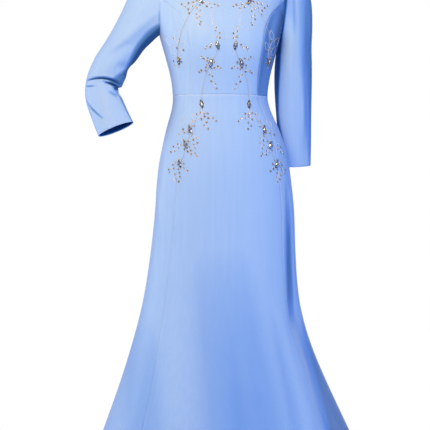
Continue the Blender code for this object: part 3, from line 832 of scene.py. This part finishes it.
def even_steps(points, pitch):
    """Points at an even pitch along a line."""
    line = np.array(points, float)
    run = np.concatenate(([0], np.cumsum(np.linalg.norm(np.diff(line, axis=0), axis=1))))
    count = max(int(run[-1] / pitch), 2)
    at = np.linspace(0, run[-1], count + 1)
    return np.stack([np.interp(at, run, line[:, k]) for k in range(3)], axis=1)


class Front:
    """Places on the gown's front, by reach from its centre line, height and side."""

    def __init__(self, tree):
        self.tree = tree
        rows = []
        for word in CRYSTALS:
            left, right = (self.middle(f"crystal_{word}_{side}") for side in ("left", "right"))
            rows.append((left.z, (left.x + right.x) / 2))
            setattr(self, word, ((left.x - right.x) / 2, left.z))
        rows.sort()
        self.heights = [row[0] for row in rows]
        self.centres = [row[1] for row in rows]

    @staticmethod
    def middle(node):
        low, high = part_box(node)
        return (low + high) / 2

    def place(self, side, reach, height):
        """The point of the cloth and its normal."""
        x = float(np.interp(height, self.heights, self.centres)) + side * reach
        spot, normal, _, _ = self.tree.ray_cast(Vector((x, -1, height)), Vector((0, 1, 0)))
        if spot is None:
            spot, normal, _, _ = self.tree.find_nearest(Vector((x, -0.1, height)))
        return spot, normal


def bowed(start, end, bow, count):
    """Flat points from start to end, bowed to the left of the way."""
    (x0, z0), (x1, z1) = start, end
    length = math.hypot(x1 - x0, z1 - z0)
    ax, az = (z1 - z0) / length, -(x1 - x0) / length
    made = []
    for k in range(count + 1):
        t = k / count
        away = bow * 4 * t * (1 - t)
        made.append((x0 + (x1 - x0) * t - ax * away, z0 + (z1 - z0) * t - az * away))
    return made


def spray_line(front, spray):
    """The flat points of one spray, from its crystal out."""
    x, z = getattr(front, spray.start)
    turn = math.radians(spray.heading)
    end = (x + math.sin(turn) * spray.length, z - math.cos(turn) * spray.length)
    return bowed((x, z), end, spray.bow, SPRAY_STEPS)


def bead_places(front):
    """Reach and height of every small bead of one side."""
    made = []
    for spray in SPRAYS:
        line = spray_line(front, spray)
        for k in range(spray.beads):
            share = SPRAY_BARE + (1 - SPRAY_BARE) * (k + 1) / spray.beads
            step = round(share * SPRAY_STEPS)
            spot, behind, ahead = line[step], line[step - 1], line[min(step + 1, SPRAY_STEPS)]
            dx, dz = ahead[0] - behind[0], ahead[1] - behind[1]
            size = math.hypot(dx, dz)
            off = 0 if k == spray.beads - 1 else spray.spread * (1 if k % 2 else -1)
            off += random.uniform(-BEAD_STRAY, BEAD_STRAY)
            made.append((spot[0] + dz / size * off, spot[1] - dx / size * off))
    for ring in RINGS:
        x, z = getattr(front, ring.centre)
        for k in range(ring.beads):
            angle = math.tau * (k + 0.3) / ring.beads
            radius = ring.radius * random.uniform(0.9, 1.12)
            made.append((x + radius * math.sin(angle) * 0.85, z + radius * math.cos(angle)))
    return thinned(made)


def thinned(places):
    """Leave out a bead that would lie on one before it."""
    kept = []
    for x, z in places:
        if all(math.hypot(x - a, z - b) > BEAD_SPACING for a, b in kept):
            kept.append((x, z))
    return kept


def bead_setting():
    """A shallow round cup with a rolled rim."""
    bpy.ops.object.select_all(action="DESELECT")
    bpy.ops.mesh.primitive_cylinder_add(
        vertices=BEAD_SIDES,
        radius=BEAD_RADIUS * 0.86,
        depth=SETTING_HEIGHT,
        location=(0, 0, SETTING_HEIGHT / 2),
    )
    cup = bpy.context.view_layer.objects.active
    edit(cup, "FACE", looks_up)
    bpy.ops.transform.resize(value=(1.16, 1.16, 1))
    bpy.ops.mesh.inset(thickness=BEAD_RADIUS * 0.22)
    bpy.ops.transform.translate(value=(0, 0, -SETTING_HEIGHT * 0.35))
    apply_place(cup)
    return cup


def bead_stone():
    """A round stone cut with a flat top and one row of facets."""
    bpy.ops.object.select_all(action="DESELECT")
    bpy.ops.mesh.primitive_cone_add(
        vertices=BEAD_SIDES,
        radius1=STONE_RADIUS,
        radius2=STONE_RADIUS * 0.5,
        depth=STONE_HEIGHT,
        location=(0, 0, SETTING_HEIGHT * 0.66 + STONE_HEIGHT / 2),
    )
    stone = bpy.context.view_layer.objects.active
    edit(stone, "FACE", looks_up)
    bpy.ops.mesh.poke(offset=STONE_HEIGHT * 0.22)
    apply_place(stone)
    return stone


def apply_place(piece):
    """Leave edit mode, and put the piece's place into its mesh."""
    bpy.ops.object.mode_set(mode="OBJECT")
    only(piece)
    bpy.ops.object.transform_apply(location=True, rotation=True, scale=True)


def standing_on(spot, normal, turn, size):
    """The place of something that stands on the cloth."""
    up = normal.normalized()
    right = Vector((0, 0, 1)).cross(up).normalized()
    stand = Matrix((right, up.cross(right), up)).transposed().to_4x4()
    stand.translation = spot
    return stand @ Matrix.Rotation(turn, 4, "Z") @ Matrix.Scale(size, 4)


def scattered(name, model, places, by_facet=False):
    """One mesh with a copy of the model at each place. A random number per copy or per facet picks its
    tone;
    on stones it picks among painted reflections and glints.
    """
    base = points_of(model)
    loops = faces_of(model.data)
    spots, faces, tint_and_glint_picks = [], [], []
    for place in places:
        start = len(spots)
        spots += [place @ Vector(point) for point in base]
        faces += [tuple(start + k for k in loop) for loop in loops]
        own = random.random()
        tint_and_glint_picks += [random.random() if by_facet else own for _ in loops]
    mesh = bpy.data.meshes.new(name)
    mesh.from_pydata(spots, [], faces)
    layer = mesh.attributes.new("tint_and_glint", "FLOAT", "FACE")
    layer.data.foreach_set("value", tint_and_glint_picks)
    bpy.data.objects.remove(model)
    return new_piece(name, mesh)


def clasped(front, crystal):
    """Rim and four claws that hold one crystal, from the crystal's own outline."""
    points = points_of(crystal)
    middle = front.middle(crystal.name)
    spot, normal, _, _ = front.tree.find_nearest(middle)
    heights = (points - np.array(spot)) @ np.array(normal)
    girdle = [Vector(point) for point, h in zip(points, heights) if h < heights.min() + GIRDLE_BAND]
    right = Vector((0, 0, 1)).cross(normal).normalized()
    up = normal.cross(right)

    def bearing(point):
        return math.atan2((point - middle).dot(up), (point - middle).dot(right))

    outline = []
    for point in sorted(girdle, key=bearing):
        flat = point - middle
        flat -= flat.dot(normal) * normal
        if flat.length > 0.002 and (not outline or (flat - outline[-1]).length > RIM_STEP):
            outline.append(flat)
    base = middle - normal * (middle - spot).dot(normal) + normal * RIM_LIFT
    rim = [base + flat * 1.01 for flat in outline]
    rim.append(rim[0])
    tips = sorted(outline, key=lambda flat: -flat.length)[:2]
    flanks = sorted(outline, key=lambda flat: flat.length)[:2]
    claws = []
    for held, (out, knee, over, tip) in zip((tips, flanks), CLAW_SHAPES):
        for flat in held:
            foot = base + flat * out
            claws.append([foot, foot + normal * knee, base + flat * over + normal * tip])
    return rim, claws


def node(tree, kind, **settings):
    """A new shader node with its settings."""
    made = tree.nodes.new(kind)
    for name, value in settings.items():
        setattr(made, name, value)
    return made


def feed(tree, value, socket):
    """Link an output to an input, or set the input to a number or to a colour of three values."""
    if isinstance(value, bpy.types.NodeSocket):
        tree.links.new(value, socket)
    else:
        socket.default_value = (*value, 1) if isinstance(value, tuple) else value


def settle(tree, made, values):
    """Feed inputs of a node by their names."""
    for name, value in values.items():
        feed(tree, value, made.inputs[name])


def maths(tree, operation, *values):
    """A Math node fed by outputs or numbers; returns its output."""
    made = node(tree, "ShaderNodeMath", operation=operation)
    for value, socket in zip(values, made.inputs):
        feed(tree, value, socket)
    return made.outputs[0]


def noise(tree, vector, scale, detail):
    made = node(tree, "ShaderNodeTexNoise")
    settle(tree, made, {"Vector": vector, "Scale": scale, "Detail": detail})
    return made.outputs["Fac"]


def ramp(tree, factor, low, high, start, end):
    """Map Range from low..high to start..end, held at both ends."""
    made = node(tree, "ShaderNodeMapRange", clamp=True, interpolation_type="SMOOTHSTEP")
    names = ("Value", "From Min", "From Max", "To Min", "To Max")
    settle(tree, made, dict(zip(names, (factor, low, high, start, end))))
    return made.outputs["Result"]


def mixed(tree, factor, low, high):
    """The colour between two, by a factor; each is an output or a linear colour."""
    made = node(tree, "ShaderNodeMix", data_type="RGBA", clamp_factor=True)
    feed(tree, factor, made.inputs["Factor"])
    feed(tree, low, made.inputs[6])
    feed(tree, high, made.inputs[7])
    return made.outputs[2]


def read(tree, name, output="Fac"):
    """What an attribute of the mesh holds."""
    return node(tree, "ShaderNodeAttribute", attribute_name=name).outputs[output]


def own_place(tree):
    """Where a point lies in its own piece."""
    return node(tree, "ShaderNodeTexCoord").outputs["Object"]


def new_group(name, takes, gives):
    """A node group. An input is a name, a kind and a default, and an output is a name and a kind."""
    tree = bpy.data.node_groups.new(name, "ShaderNodeTree")
    for socket, kind, default in takes:
        made = tree.interface.new_socket(socket, in_out="INPUT", socket_type=f"NodeSocket{kind}")
        made.default_value = default
    for socket, kind in gives:
        tree.interface.new_socket(socket, in_out="OUTPUT", socket_type=f"NodeSocket{kind}")
    return tree, node(tree, "NodeGroupInput").outputs, node(tree, "NodeGroupOutput")


def placed(tree, group, values):
    """Use a node group with some of its inputs fed; returns its outputs."""
    made = node(tree, "ShaderNodeGroup", node_tree=group)
    settle(tree, made, values)
    return made.outputs


def crepe_weave_group():
    """Crepe: a pebbled yarn surface with faint lengthwise ribs, as a height and a shade."""
    tree, given, gives = new_group(
        "crepe weave",
        (
            ("Grain", "Vector", (0, 0, 0)),
            ("Pebbles a metre", "Float", 1500.0),
            ("Rib strength", "Float", 0.5),
        ),
        (("Height", "Float"), ("Shade", "Float")),
    )
    pebbles = noise(tree, given["Grain"], given["Pebbles a metre"], 2.0)
    stretch = node(tree, "ShaderNodeMapping")
    stretch.inputs["Scale"].default_value = (1.0, 1.0, 0.035)
    feed(tree, given["Grain"], stretch.inputs["Vector"])
    ribs = noise(tree, stretch.outputs["Vector"], 420.0, 2.0)
    slubs = noise(tree, stretch.outputs["Vector"], 95.0, 3.0)
    ribbed = maths(tree, "MULTIPLY", maths(tree, "SUBTRACT", ribs, 0.5), given["Rib strength"])
    slubbed = maths(tree, "MULTIPLY", maths(tree, "SUBTRACT", slubs, 0.5), 1.6)
    settle(tree, gives, {
        "Height": maths(tree, "ADD", maths(tree, "MULTIPLY", pebbles, 0.5), ribbed),
        "Shade": maths(tree, "ADD", slubbed, ribbed),
    })
    return tree


def pressed_seam_group():
    """Beside a cut edge: a rolled edge, the turning's ridge, and a pale painted highlight line."""
    tree, given, gives = new_group(
        "pressed seam",
        (("Edge", "Float", 1.0), ("Roll width", "Float", 0.0022), ("Turning width", "Float", 0.012)),
        (("Height", "Float"), ("Pale", "Float")),
    )
    near = maths(tree, "DIVIDE", given["Edge"], given["Roll width"])
    square = maths(tree, "MULTIPLY", near, near)
    bell = maths(tree, "EXPONENT", maths(tree, "MULTIPLY", square, -1.0))
    turning = maths(tree, "DIVIDE", given["Edge"], given["Turning width"])
    step = ramp(tree, turning, 0.85, 1.15, 1.0, 0.0)
    settle(tree, gives, {
        "Height": maths(tree, "SUBTRACT", maths(tree, "MULTIPLY", step, 0.12), bell),
        "Pale": ramp(tree, near, 0.30, 0.75, 1.0, 0.0),
    })
    return tree


def shut_off_group():
    """Cloth colour darkening in three steps as it is shut off from light: blue, slate blue, navy."""
    tree, given, gives = new_group(
        "shut off from light",
        (("Colour", "Color", (0.4, 0.6, 0.9, 1)), ("Shut", "Float", 0.0)),
        (("Colour", "Color"),),
    )
    tone = given["Colour"]
    for low, high, colour in CREPE_SHADES:
        tone = mixed(tree, ramp(tree, given["Shut"], low, high, 0.0, 1.0), tone, colour)
    settle(tree, gives, {"Colour": tone})
    return tree


def cast_metal_group():
    """Cast metal: fine unevenness, dark in its hollows, as a shade, a roughness and a height."""
    tree, given, gives = new_group(
        "cast metal",
        (("Grains a metre", "Float", 900.0), ("Base roughness", "Float", 0.3), ("Tint", "Float", 0.5)),
        (("Shade", "Float"), ("Roughness", "Float"), ("Height", "Float")),
    )
    grains = noise(tree, own_place(tree), given["Grains a metre"], 3.0)
    uneven = maths(tree, "MULTIPLY", maths(tree, "SUBTRACT", grains, 0.5), 0.30)
    settle(tree, gives, {
        "Shade": maths(tree, "ADD", given["Tint"], uneven),
        "Roughness": maths(tree, "ADD", given["Base roughness"], uneven),
        "Height": grains,
    })
    return tree


def blank_material(name):
    made = bpy.data.materials.new(name)
    made.use_nodes = True
    tree = made.node_tree
    return made, tree, tree.nodes["Principled BSDF"]


def bump(tree, height, distance, strength=1.0, under=None):
    """The normal of a surface raised by a height, on top of the normal under it."""
    made = node(tree, "ShaderNodeBump")
    settle(tree, made, {"Strength": strength, "Distance": distance, "Height": height})
    if under is not None:
        feed(tree, under, made.inputs["Normal"])
    return made.outputs["Normal"]


def crepe_material(weave, seam, shut_off):
    """Pale blue crepe with a soft, slightly silky face."""
    made, tree, shader = blank_material("pale blue crepe")
    edge = read(tree, "edge")
    given = {"Grain": read(tree, "grain", "Vector"), "Pebbles a metre": 1500, "Rib strength": 0.45}
    cloth = placed(tree, weave, given)
    pressed = placed(tree, seam, {"Edge": edge})
    shade = maths(tree, "ADD", maths(tree, "MULTIPLY", cloth["Shade"], 0.55), 0.5)
    yarn = mixed(tree, shade, CREPE_DEEP, CREPE_LIGHT)
    # Painted highlight: a pale line beside each seam, where its pressed edge would catch light
    seam_lit = mixed(tree, maths(tree, "MULTIPLY", pressed["Pale"], 0.28), yarn, CREPE_SEAM_HIGHLIGHT)
    off_edge = ramp(tree, edge, 0.0004, 0.0024, 0.10, 1.0)
    closed_off = maths(tree, "MULTIPLY", read(tree, "shade"), off_edge)
    shut = maths(tree, "MAXIMUM", closed_off, read(tree, "lee"))
    below = bump(tree, pressed["Height"], 0.00090)
    settle(tree, shader, {
        "Base Color": placed(tree, shut_off, {"Colour": seam_lit, "Shut": shut})["Colour"],
        "Roughness": ramp(tree, cloth["Shade"], -0.6, 0.6, 0.62, 0.52),
        "Sheen Weight": 0.22,
        "Sheen Roughness": 0.45,
        "Sheen Tint": SHEEN_TINT,
        "Specular IOR Level": 0.32,
        "Normal": bump(tree, cloth["Height"], 0.00012, 0.55, below),
    })
    return made


def thread_material(thread, shut_off):
    """Twisted thread: a fine slanting twist along each strand."""
    made, tree, shader = blank_material(thread.name)
    wave = node(tree, "ShaderNodeTexWave", wave_type="BANDS", bands_direction="DIAGONAL")
    settle(tree, wave, {"Vector": own_place(tree), "Scale": 900, "Distortion": 2.0})
    twist = wave.outputs["Fac"]
    strand = mixed(tree, twist, thread.dark, thread.light)
    settle(tree, shader, {
        "Base Color": placed(tree, shut_off, {"Colour": strand, "Shut": read(tree, "lee")})["Colour"],
        "Roughness": ramp(tree, twist, 0, 1, thread.roughness, thread.roughness - 0.12),
        "Sheen Weight": 0.1,
        "Normal": bump(tree, twist, 0.0001, 0.6),
    })
    return made


def metal_material(name, group, dark, light, roughness, grains, metallic=1.0):
    """Cast metal between a dark and a light tone."""
    made, tree, shader = blank_material(name)
    given = {"Grains a metre": grains, "Base roughness": roughness, "Tint": read(tree, "tint_and_glint")}
    cast = placed(tree, group, given)
    settle(tree, shader, {
        "Base Color": mixed(tree, cast["Shade"], dark, light),
        "Roughness": cast["Roughness"],
        "Metallic": metallic,
        "Normal": bump(tree, cast["Height"], 0.00006, 0.4),
    })
    return made


def stone_material(name, tones, roughness, metallic):
    """Foil-backed cut glass. Each facet shows one tone, with a little cloud in it.

    The tones are painted reflections and glints; on the champagne stone some are its own colour.
    """
    made, tree, shader = blank_material(name)
    cloud = noise(tree, own_place(tree), 700.0, 1.0)
    clouded = maths(tree, "MULTIPLY", maths(tree, "SUBTRACT", cloud, 0.5), 0.25)
    steps = node(tree, "ShaderNodeValToRGB")
    steps.color_ramp.interpolation = "CONSTANT"
    while len(steps.color_ramp.elements) < len(tones):
        steps.color_ramp.elements.new(0.5)
    for element, (start, colour) in zip(steps.color_ramp.elements, tones):
        element.position = start
        element.color = (*colour, 1)
    settle(tree, steps, {"Fac": maths(tree, "ADD", read(tree, "tint_and_glint"), clouded)})
    settle(tree, shader, {
        "Base Color": steps.outputs["Color"],
        "Roughness": ramp(tree, cloud, 0.3, 0.7, roughness, roughness * 0.4),
        "Metallic": metallic,
        "Coat Weight": 1.0,
        "Coat Roughness": 0.03,
    })
    return made


def build_cloth():
    """All panels and sleeves as fine folded shells, each in the place of its CAD node."""
    pieces = {}
    meshes = [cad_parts[cut.node].data for cut in CUTS]
    blockers = joined_tree((mesh, faces_of(mesh)) for mesh in meshes)
    for cut in CUTS:
        piece = cloth_shell(cut.node, blockers)
        refine_folds(cut.node, piece)
        faces = outer_faces(cut.node, piece)
        fold_cloth(cut.node, piece)
        lay_grain(cut.node, piece)
        pieces[cut.node] = {"piece": piece, "faces": faces, "border": border_of(faces)}
    return pieces


def outer_tree(pieces, wanted):
    """One search tree of the outer faces of those pieces whose names are wanted."""
    return joined_tree(
        (item["piece"].data, item["faces"]) for name, item in pieces.items() if wanted(name)
    )


def finish_cloth(pieces, crepe):
    """The material and smooth faces of each piece of cloth, its CAD node hidden, and its body."""
    for cut in CUTS:
        piece = pieces[cut.node]["piece"]
        for face in piece.data.polygons:
            face.material_index = 0
        piece.data.materials.append(crepe)
        only(piece)
        bpy.ops.object.shade_smooth_by_angle(angle=CUT_ANGLE)
        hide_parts(cut.node)
        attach(piece, "gown")


def build_corners(seams, crepe):
    """The seam allowance that backs each corner where three pieces of cloth meet."""
    ends = [({name, other}, *end) for name, other, met in seams for end in (met[0], met[-1])]
    spots, faces = [], []
    left = list(range(len(ends)))
    while left:
        first = left.pop(0)
        near = [first] + [k for k in left if (ends[k][1] - ends[first][1]).length < CORNER_REACH]
        left = [k for k in left if k not in near]
        if len(near) != 3 or len(set().union(*(ends[k][0] for k in near))) != 3:
            continue
        middle = sum((ends[k][1] for k in near), Vector()) / 3
        up = sum((ends[k][2] for k in near), Vector()).normalized()
        spread = max((ends[k][1] - middle).length for k in near)
        if spread < CORNER_GAP:
            continue
        base = len(spots)
        for k in near:
            away = ends[k][1] - middle
            spots.append(ends[k][1] + away.normalized() * CORNER_OVERLAP - up * CORNER_DEPTH)
        turn = (spots[base + 1] - spots[base]).cross(spots[base + 2] - spots[base]).dot(up)
        faces.append((base, base + 1, base + 2) if turn > 0 else (base, base + 2, base + 1))
    mesh = bpy.data.meshes.new("seam_corners")
    mesh.from_pydata(spots, [], faces)
    put_layer(mesh, "grain", "vector", spots)
    put_layer(mesh, "edge", "value", [0.02] * len(spots))
    put_layer(mesh, "shade", "value", [0.10] * len(spots))
    dress(new_piece("seam_corners", mesh), crepe)


def shade_like(piece, pieces):
    """Give a thread the shade of the cloth it lies on."""
    spots, shades = [], []
    for item in pieces.values():
        mesh = item["piece"].data
        layer = mesh.attributes["lee"].data
        for k in {k for key in item["border"] for k in key}:
            spots.append(mesh.vertices[k].co.copy())
            shades.append(layer[k].value)
    tree = KDTree(len(spots))
    for k, spot in enumerate(spots):
        tree.insert(spot, k)
    tree.balance()
    found = [shades[tree.find(vertex.co)[1]] for vertex in piece.data.vertices]
    put_layer(piece.data, "lee", "value", found)


def seam_kind(name, other):
    """Which thread sews two pieces together: across the waist it shows more; in shade, painted dark."""
    if "sleeve" not in name + other and name.split("_")[0] != other.split("_")[0]:
        return "waist"
    return "shaded" if {name, other} == SHADED_SEAM else "panel"


def build_seams(seams, threads, pieces):
    """A thread of even stitches along every seam, lying in the groove between the panels."""
    lines = {kind: [] for kind in SEAM_KINDS}
    for name, other, met in seams:
        spots = [np.array(spot - normal.normalized() * STITCH_SINK) for spot, normal in met]
        lines[seam_kind(name, other)].append(even_steps(spots, STITCH_PITCH / 2))
    for kind in SEAM_KINDS:
        radius = THREADS[kind].radius
        stitches = tube_piece(f"{kind}_stitches", lines[kind], radius, 0, (STITCH_NECK, 1.0))
        if kind == "panel":
            shade_like(stitches, pieces)
        dress(stitches, threads[kind])


def dress(piece, material):
    """Give a finished piece its material, smooth faces and body."""
    piece.data.materials.clear()
    piece.data.materials.append(material)
    only(piece)
    bpy.ops.object.shade_smooth_by_angle(angle=math.radians(40))
    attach(piece, "gown")


def build_beads(front, settings_metal, stone):
    """Cups and stones of all the small beads."""
    places = []
    for side in (-1, 1):
        for reach, height in bead_places(front):
            spot, normal = front.place(side, reach, height)
            size = random.uniform(0.82, 1.12)
            places.append(standing_on(spot, normal, random.uniform(0, math.pi), size))
    settings = scattered("bead_settings", bead_setting(), places)
    stones = scattered("bead_stones", bead_stone(), places, by_facet=True)
    dress(settings, settings_metal)
    dress(stones, stone)
    stones.data.shade_flat()


def laid(front, side, flat, lift):
    """Flat points laid on the front, lifted off the cloth."""
    made = []
    for reach, height in flat:
        spot, normal = front.place(side, reach, height)
        made.append(spot + normal * lift)
    return made


def leaf_outline(x, z, turn, length):
    """A pointed leaf, as flat points round its edge."""
    c, s = math.cos(math.radians(turn)), math.sin(math.radians(turn))
    made = []
    for k in range(LEAF_STEPS + 1):
        angle = math.tau * (k / LEAF_STEPS)
        along = length / 2 * math.cos(angle)
        wide = 0.24 * length * math.sin(angle) * (1 - 0.35 * math.cos(angle))
        made.append((x + wide * c + along * s, z + along * c - wide * s))
    return made


def build_stems(front, threads):
    """Corded stems between the crystals, and the fine thread of sprays, scrolls and leaves."""
    cord, fine = THREADS["stem"].radius, THREADS["scroll"].radius
    stems, scrolls = [], []
    for side in (-1, 1):
        for stem in STEMS:
            start, end = getattr(front, stem.start), getattr(front, stem.end)
            stems.append(laid(front, side, bowed(start, end, stem.bow, STEM_STEPS), cord * 0.6))
        flats = [spray_line(front, spray) for spray in SPRAYS]
        for scroll in SCROLLS:
            start, end = (scroll.reach0, scroll.height0), (scroll.reach1, scroll.height1)
            flats.append(bowed(start, end, scroll.bow, SCROLL_STEPS))
        for leaf in LEAVES:
            x, z = getattr(front, leaf.by)
            flats.append(leaf_outline(x + leaf.out, z + leaf.up, leaf.turn, leaf.length))
        scrolls += [laid(front, side, flat, fine * 0.5) for flat in flats]
    dress(tube_piece("beaded_stems", stems, cord), threads["stem"])
    dress(tube_piece("thread_scrolls", scrolls, fine), threads["scroll"])


def marquise_stone():
    """A pointed oval stone, 1 wide and 1 high: girdle, two rows of crown facets and a table."""
    bpy.ops.object.select_all(action="DESELECT")
    bpy.ops.mesh.primitive_cylinder_add(
        vertices=MARQUISE_SIDES, radius=0.5, depth=0.25, location=(0, 0, 0.125)
    )
    stone = bpy.context.view_layer.objects.active
    for inset, rise in ((0.16, 0.45), (0.13, 0.30)):
        edit(stone, "FACE", looks_up)
        bpy.ops.mesh.inset(thickness=inset)
        bpy.ops.transform.translate(value=(0, 0, rise))
        bpy.ops.object.mode_set(mode="OBJECT")
    for side in (-1, 1):
        edit(stone, "VERT", lambda vertex: vertex.co.y * side > 0.47)
        bpy.ops.transform.translate(value=(0, side * 0.10, 0))
        bpy.ops.object.mode_set(mode="OBJECT")
    edit(stone, "FACE", lambda face: face.center.z > 0.26)
    bpy.ops.mesh.poke(offset=0.015)
    apply_place(stone)
    return stone


def crystal_place(front, crystal):
    """Where one crystal lies: its width, length and height as the axes of a matrix."""
    points = points_of(crystal)
    middle = front.middle(crystal.name)
    spot, normal, _, _ = front.tree.find_nearest(middle)
    flat = points - np.array(middle)
    flat -= (flat @ np.array(normal))[:, None] * np.array(normal)
    reach = np.linalg.norm(flat, axis=1)
    along = Vector(flat[int(reach.argmax())]).normalized()
    if along.z < 0:
        along = -along
    right = along.cross(normal).normalized()
    wide = float(np.abs(flat @ np.array(right)).max()) * 2
    rise = (points - np.array(spot)) @ np.array(normal)
    lift = max(float(rise.min()), STONE_LIFT)
    long = along * float(reach.max()) * 2 / MARQUISE_LENGTH
    made = Matrix((right * wide, long, normal * (float(rise.max()) - lift))).transposed().to_4x4()
    made.translation = middle - normal * (middle - spot).dot(normal) + normal * lift
    return made


def build_crystals(front, stone, metal):
    """Every large stone, in the place of its CAD node, with the rim and the claws that hold it."""
    rims, claws = [], []
    for word in CRYSTALS:
        for side in ("left", "right"):
            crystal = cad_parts[f"crystal_{word}_{side}"]
            place = crystal_place(front, crystal)
            cut = scattered(f"crystal_{word}_{side}_cut", marquise_stone(), [place], by_facet=True)
            dress(cut, stone)
            cut.data.shade_flat()
            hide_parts(crystal.name)
            rim, gripping = clasped(front, crystal)
            rims.append(rim)
            claws += gripping
    dress(tube_piece("crystal_rims", rims, RIM_RADIUS), metal)
    dress(tube_piece("crystal_claws", claws, CLAW_RADIUS), metal)


def back_line(pieces):
    """Places of the zip's teeth down the centre back, behind the cloth."""
    tree = outer_tree(pieces, lambda name: "centre_back" in name)
    low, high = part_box("zip_slider")
    x = (low.x + high.x) / 2
    made = []
    height = low.z
    while height > ZIP_END:
        shift = float(np.interp(-height, SEAM_DROPS, SEAM_SHIFTS))
        spot, normal, _, _ = tree.find_nearest(Vector((x + shift, 0.2, height)))
        made.append(standing_on(spot - normal * COIL_DEPTH, normal, 0, 1))
        height -= COIL_PITCH
    return made


def build_zip(pieces, metal, slider_metal):
    """Coil of the concealed zip, behind the seam, and the finish of its slider and pull."""
    bpy.ops.object.select_all(action="DESELECT")
    bpy.ops.mesh.primitive_cylinder_add(
        vertices=6,
        radius=COIL_RADIUS,
        depth=COIL_WIDTH,
        location=(0, 0, 0),
        rotation=(0, math.pi / 2, 0),
    )
    tooth = bpy.context.view_layer.objects.active
    edit(tooth, "FACE", lambda face: abs(face.normal.z) > 0.9)
    bpy.ops.mesh.inset(thickness=COIL_RADIUS * 0.3)
    apply_place(tooth)
    dress(scattered("zip_coil", tooth, back_line(pieces)), metal)
    for name in ("zip_slider", "zip_pull"):
        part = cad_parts[name]
        part.data.materials.clear()
        part.data.materials.append(slider_metal)


def white_world():
    """White to the camera, and a soft blue light on the cloth."""
    world = bpy.data.worlds.new("studio")
    bpy.context.scene.world = world
    world.use_nodes = True
    tree = world.node_tree
    seen = tree.nodes["Background"]
    settle(tree, seen, {"Color": (1, 1, 1), "Strength": 1.0})
    lighting = node(tree, "ShaderNodeBackground")
    settle(tree, lighting, {"Color": AMBIENT_COLOUR, "Strength": AMBIENT_STRENGTH})
    mix = node(tree, "ShaderNodeMixShader")
    by_ray = node(tree, "ShaderNodeLightPath").outputs["Is Camera Ray"]
    for value, socket in zip((by_ray, lighting.outputs[0], seen.outputs[0]), mix.inputs):
        feed(tree, value, socket)
    feed(tree, mix.outputs[0], tree.nodes["World Output"].inputs["Surface"])


def light_studio():
    """Soft area lamps round the gown, each turned to what it lights."""
    white_world()
    for lamp in LAMPS:
        bpy.ops.object.light_add(type="AREA", location=lamp.place)
        light = bpy.context.view_layer.objects.active
        light.name = f"light_{lamp.name}"
        light.data.size = lamp.size
        light.data.energy = lamp.power
        light.data.color = lamp.colour
        way = Vector(lamp.aim) - Vector(lamp.place)
        light.rotation_euler = way.to_track_quat("-Z", "Y").to_euler()


def lay_floor():
    """A pale round floor under the hem."""
    bpy.ops.object.select_all(action="DESELECT")
    bpy.ops.mesh.primitive_circle_add(vertices=96, radius=FLOOR_RADIUS, fill_type="NGON")
    floor = bpy.context.view_layer.objects.active
    floor.name = "floor"
    floor.location = (0, 0, FLOOR_HEIGHT)
    made, tree, shader = blank_material("pale floor")
    speckle = noise(tree, own_place(tree), 40.0, 4.0)
    settle(tree, shader, {"Base Color": mixed(tree, speckle, *FLOOR_TONES), "Roughness": 0.8})
    floor.data.materials.append(made)


def aim_camera():
    """The camera of the photo: level, and a little to the gown's right of straight in front."""
    right = Vector((math.cos(CAMERA_TURN), math.sin(CAMERA_TURN), 0))
    back = Vector((math.sin(CAMERA_TURN), -math.cos(CAMERA_TURN), 0))
    target = Vector((0, 0, AIM_HEIGHT)) + right * AIM_ACROSS
    place = target + back * CAMERA_DISTANCE
    bpy.ops.object.camera_add(location=place, rotation=(math.pi / 2, 0, CAMERA_TURN))
    camera = bpy.context.view_layer.objects.active
    camera.data.sensor_width = SENSOR
    camera.data.lens = SENSOR * CAMERA_DISTANCE / (PHOTO_SIZE * METRES_A_PIXEL)
    camera.data.clip_end = 50
    bpy.context.scene.camera = camera
    bpy.context.scene.view_settings.view_transform = "Standard"


def main():
    aim_camera()
    light_studio()
    lay_floor()
    cast, shut_off = cast_metal_group(), shut_off_group()
    crepe = crepe_material(crepe_weave_group(), pressed_seam_group(), shut_off)
    threads = {kind: thread_material(thread, shut_off) for kind, thread in THREADS.items()}
    silver = metal_material("aged silver", cast, SILVER_DARK, SILVER_LIGHT, 0.30, 900)
    bright = metal_material("bright silver cup", cast, CUP_DARK, CUP_LIGHT, 0.34, 900, 0.55)
    zip_silver = metal_material("zip metal", cast, SILVER_DARK, SILVER_LIGHT, 0.22, 500)
    topaz = stone_material("champagne stone", TOPAZ_TONES_AND_GLINTS, 0.18, 0.45)
    clear = stone_material("clear crystal", CRYSTAL_REFLECTIONS, 0.10, 0.60)
    pieces = build_cloth()
    seams = seam_lines(pieces)
    build_seams(seams, threads, pieces)
    build_corners(seams, crepe)
    front = Front(outer_tree(pieces, lambda name: "back" not in name and "sleeve" not in name))
    build_beads(front, bright, topaz)
    build_stems(front, threads)
    build_crystals(front, clear, silver)
    build_zip(pieces, silver, zip_silver)
    finish_cloth(pieces, crepe)


main()
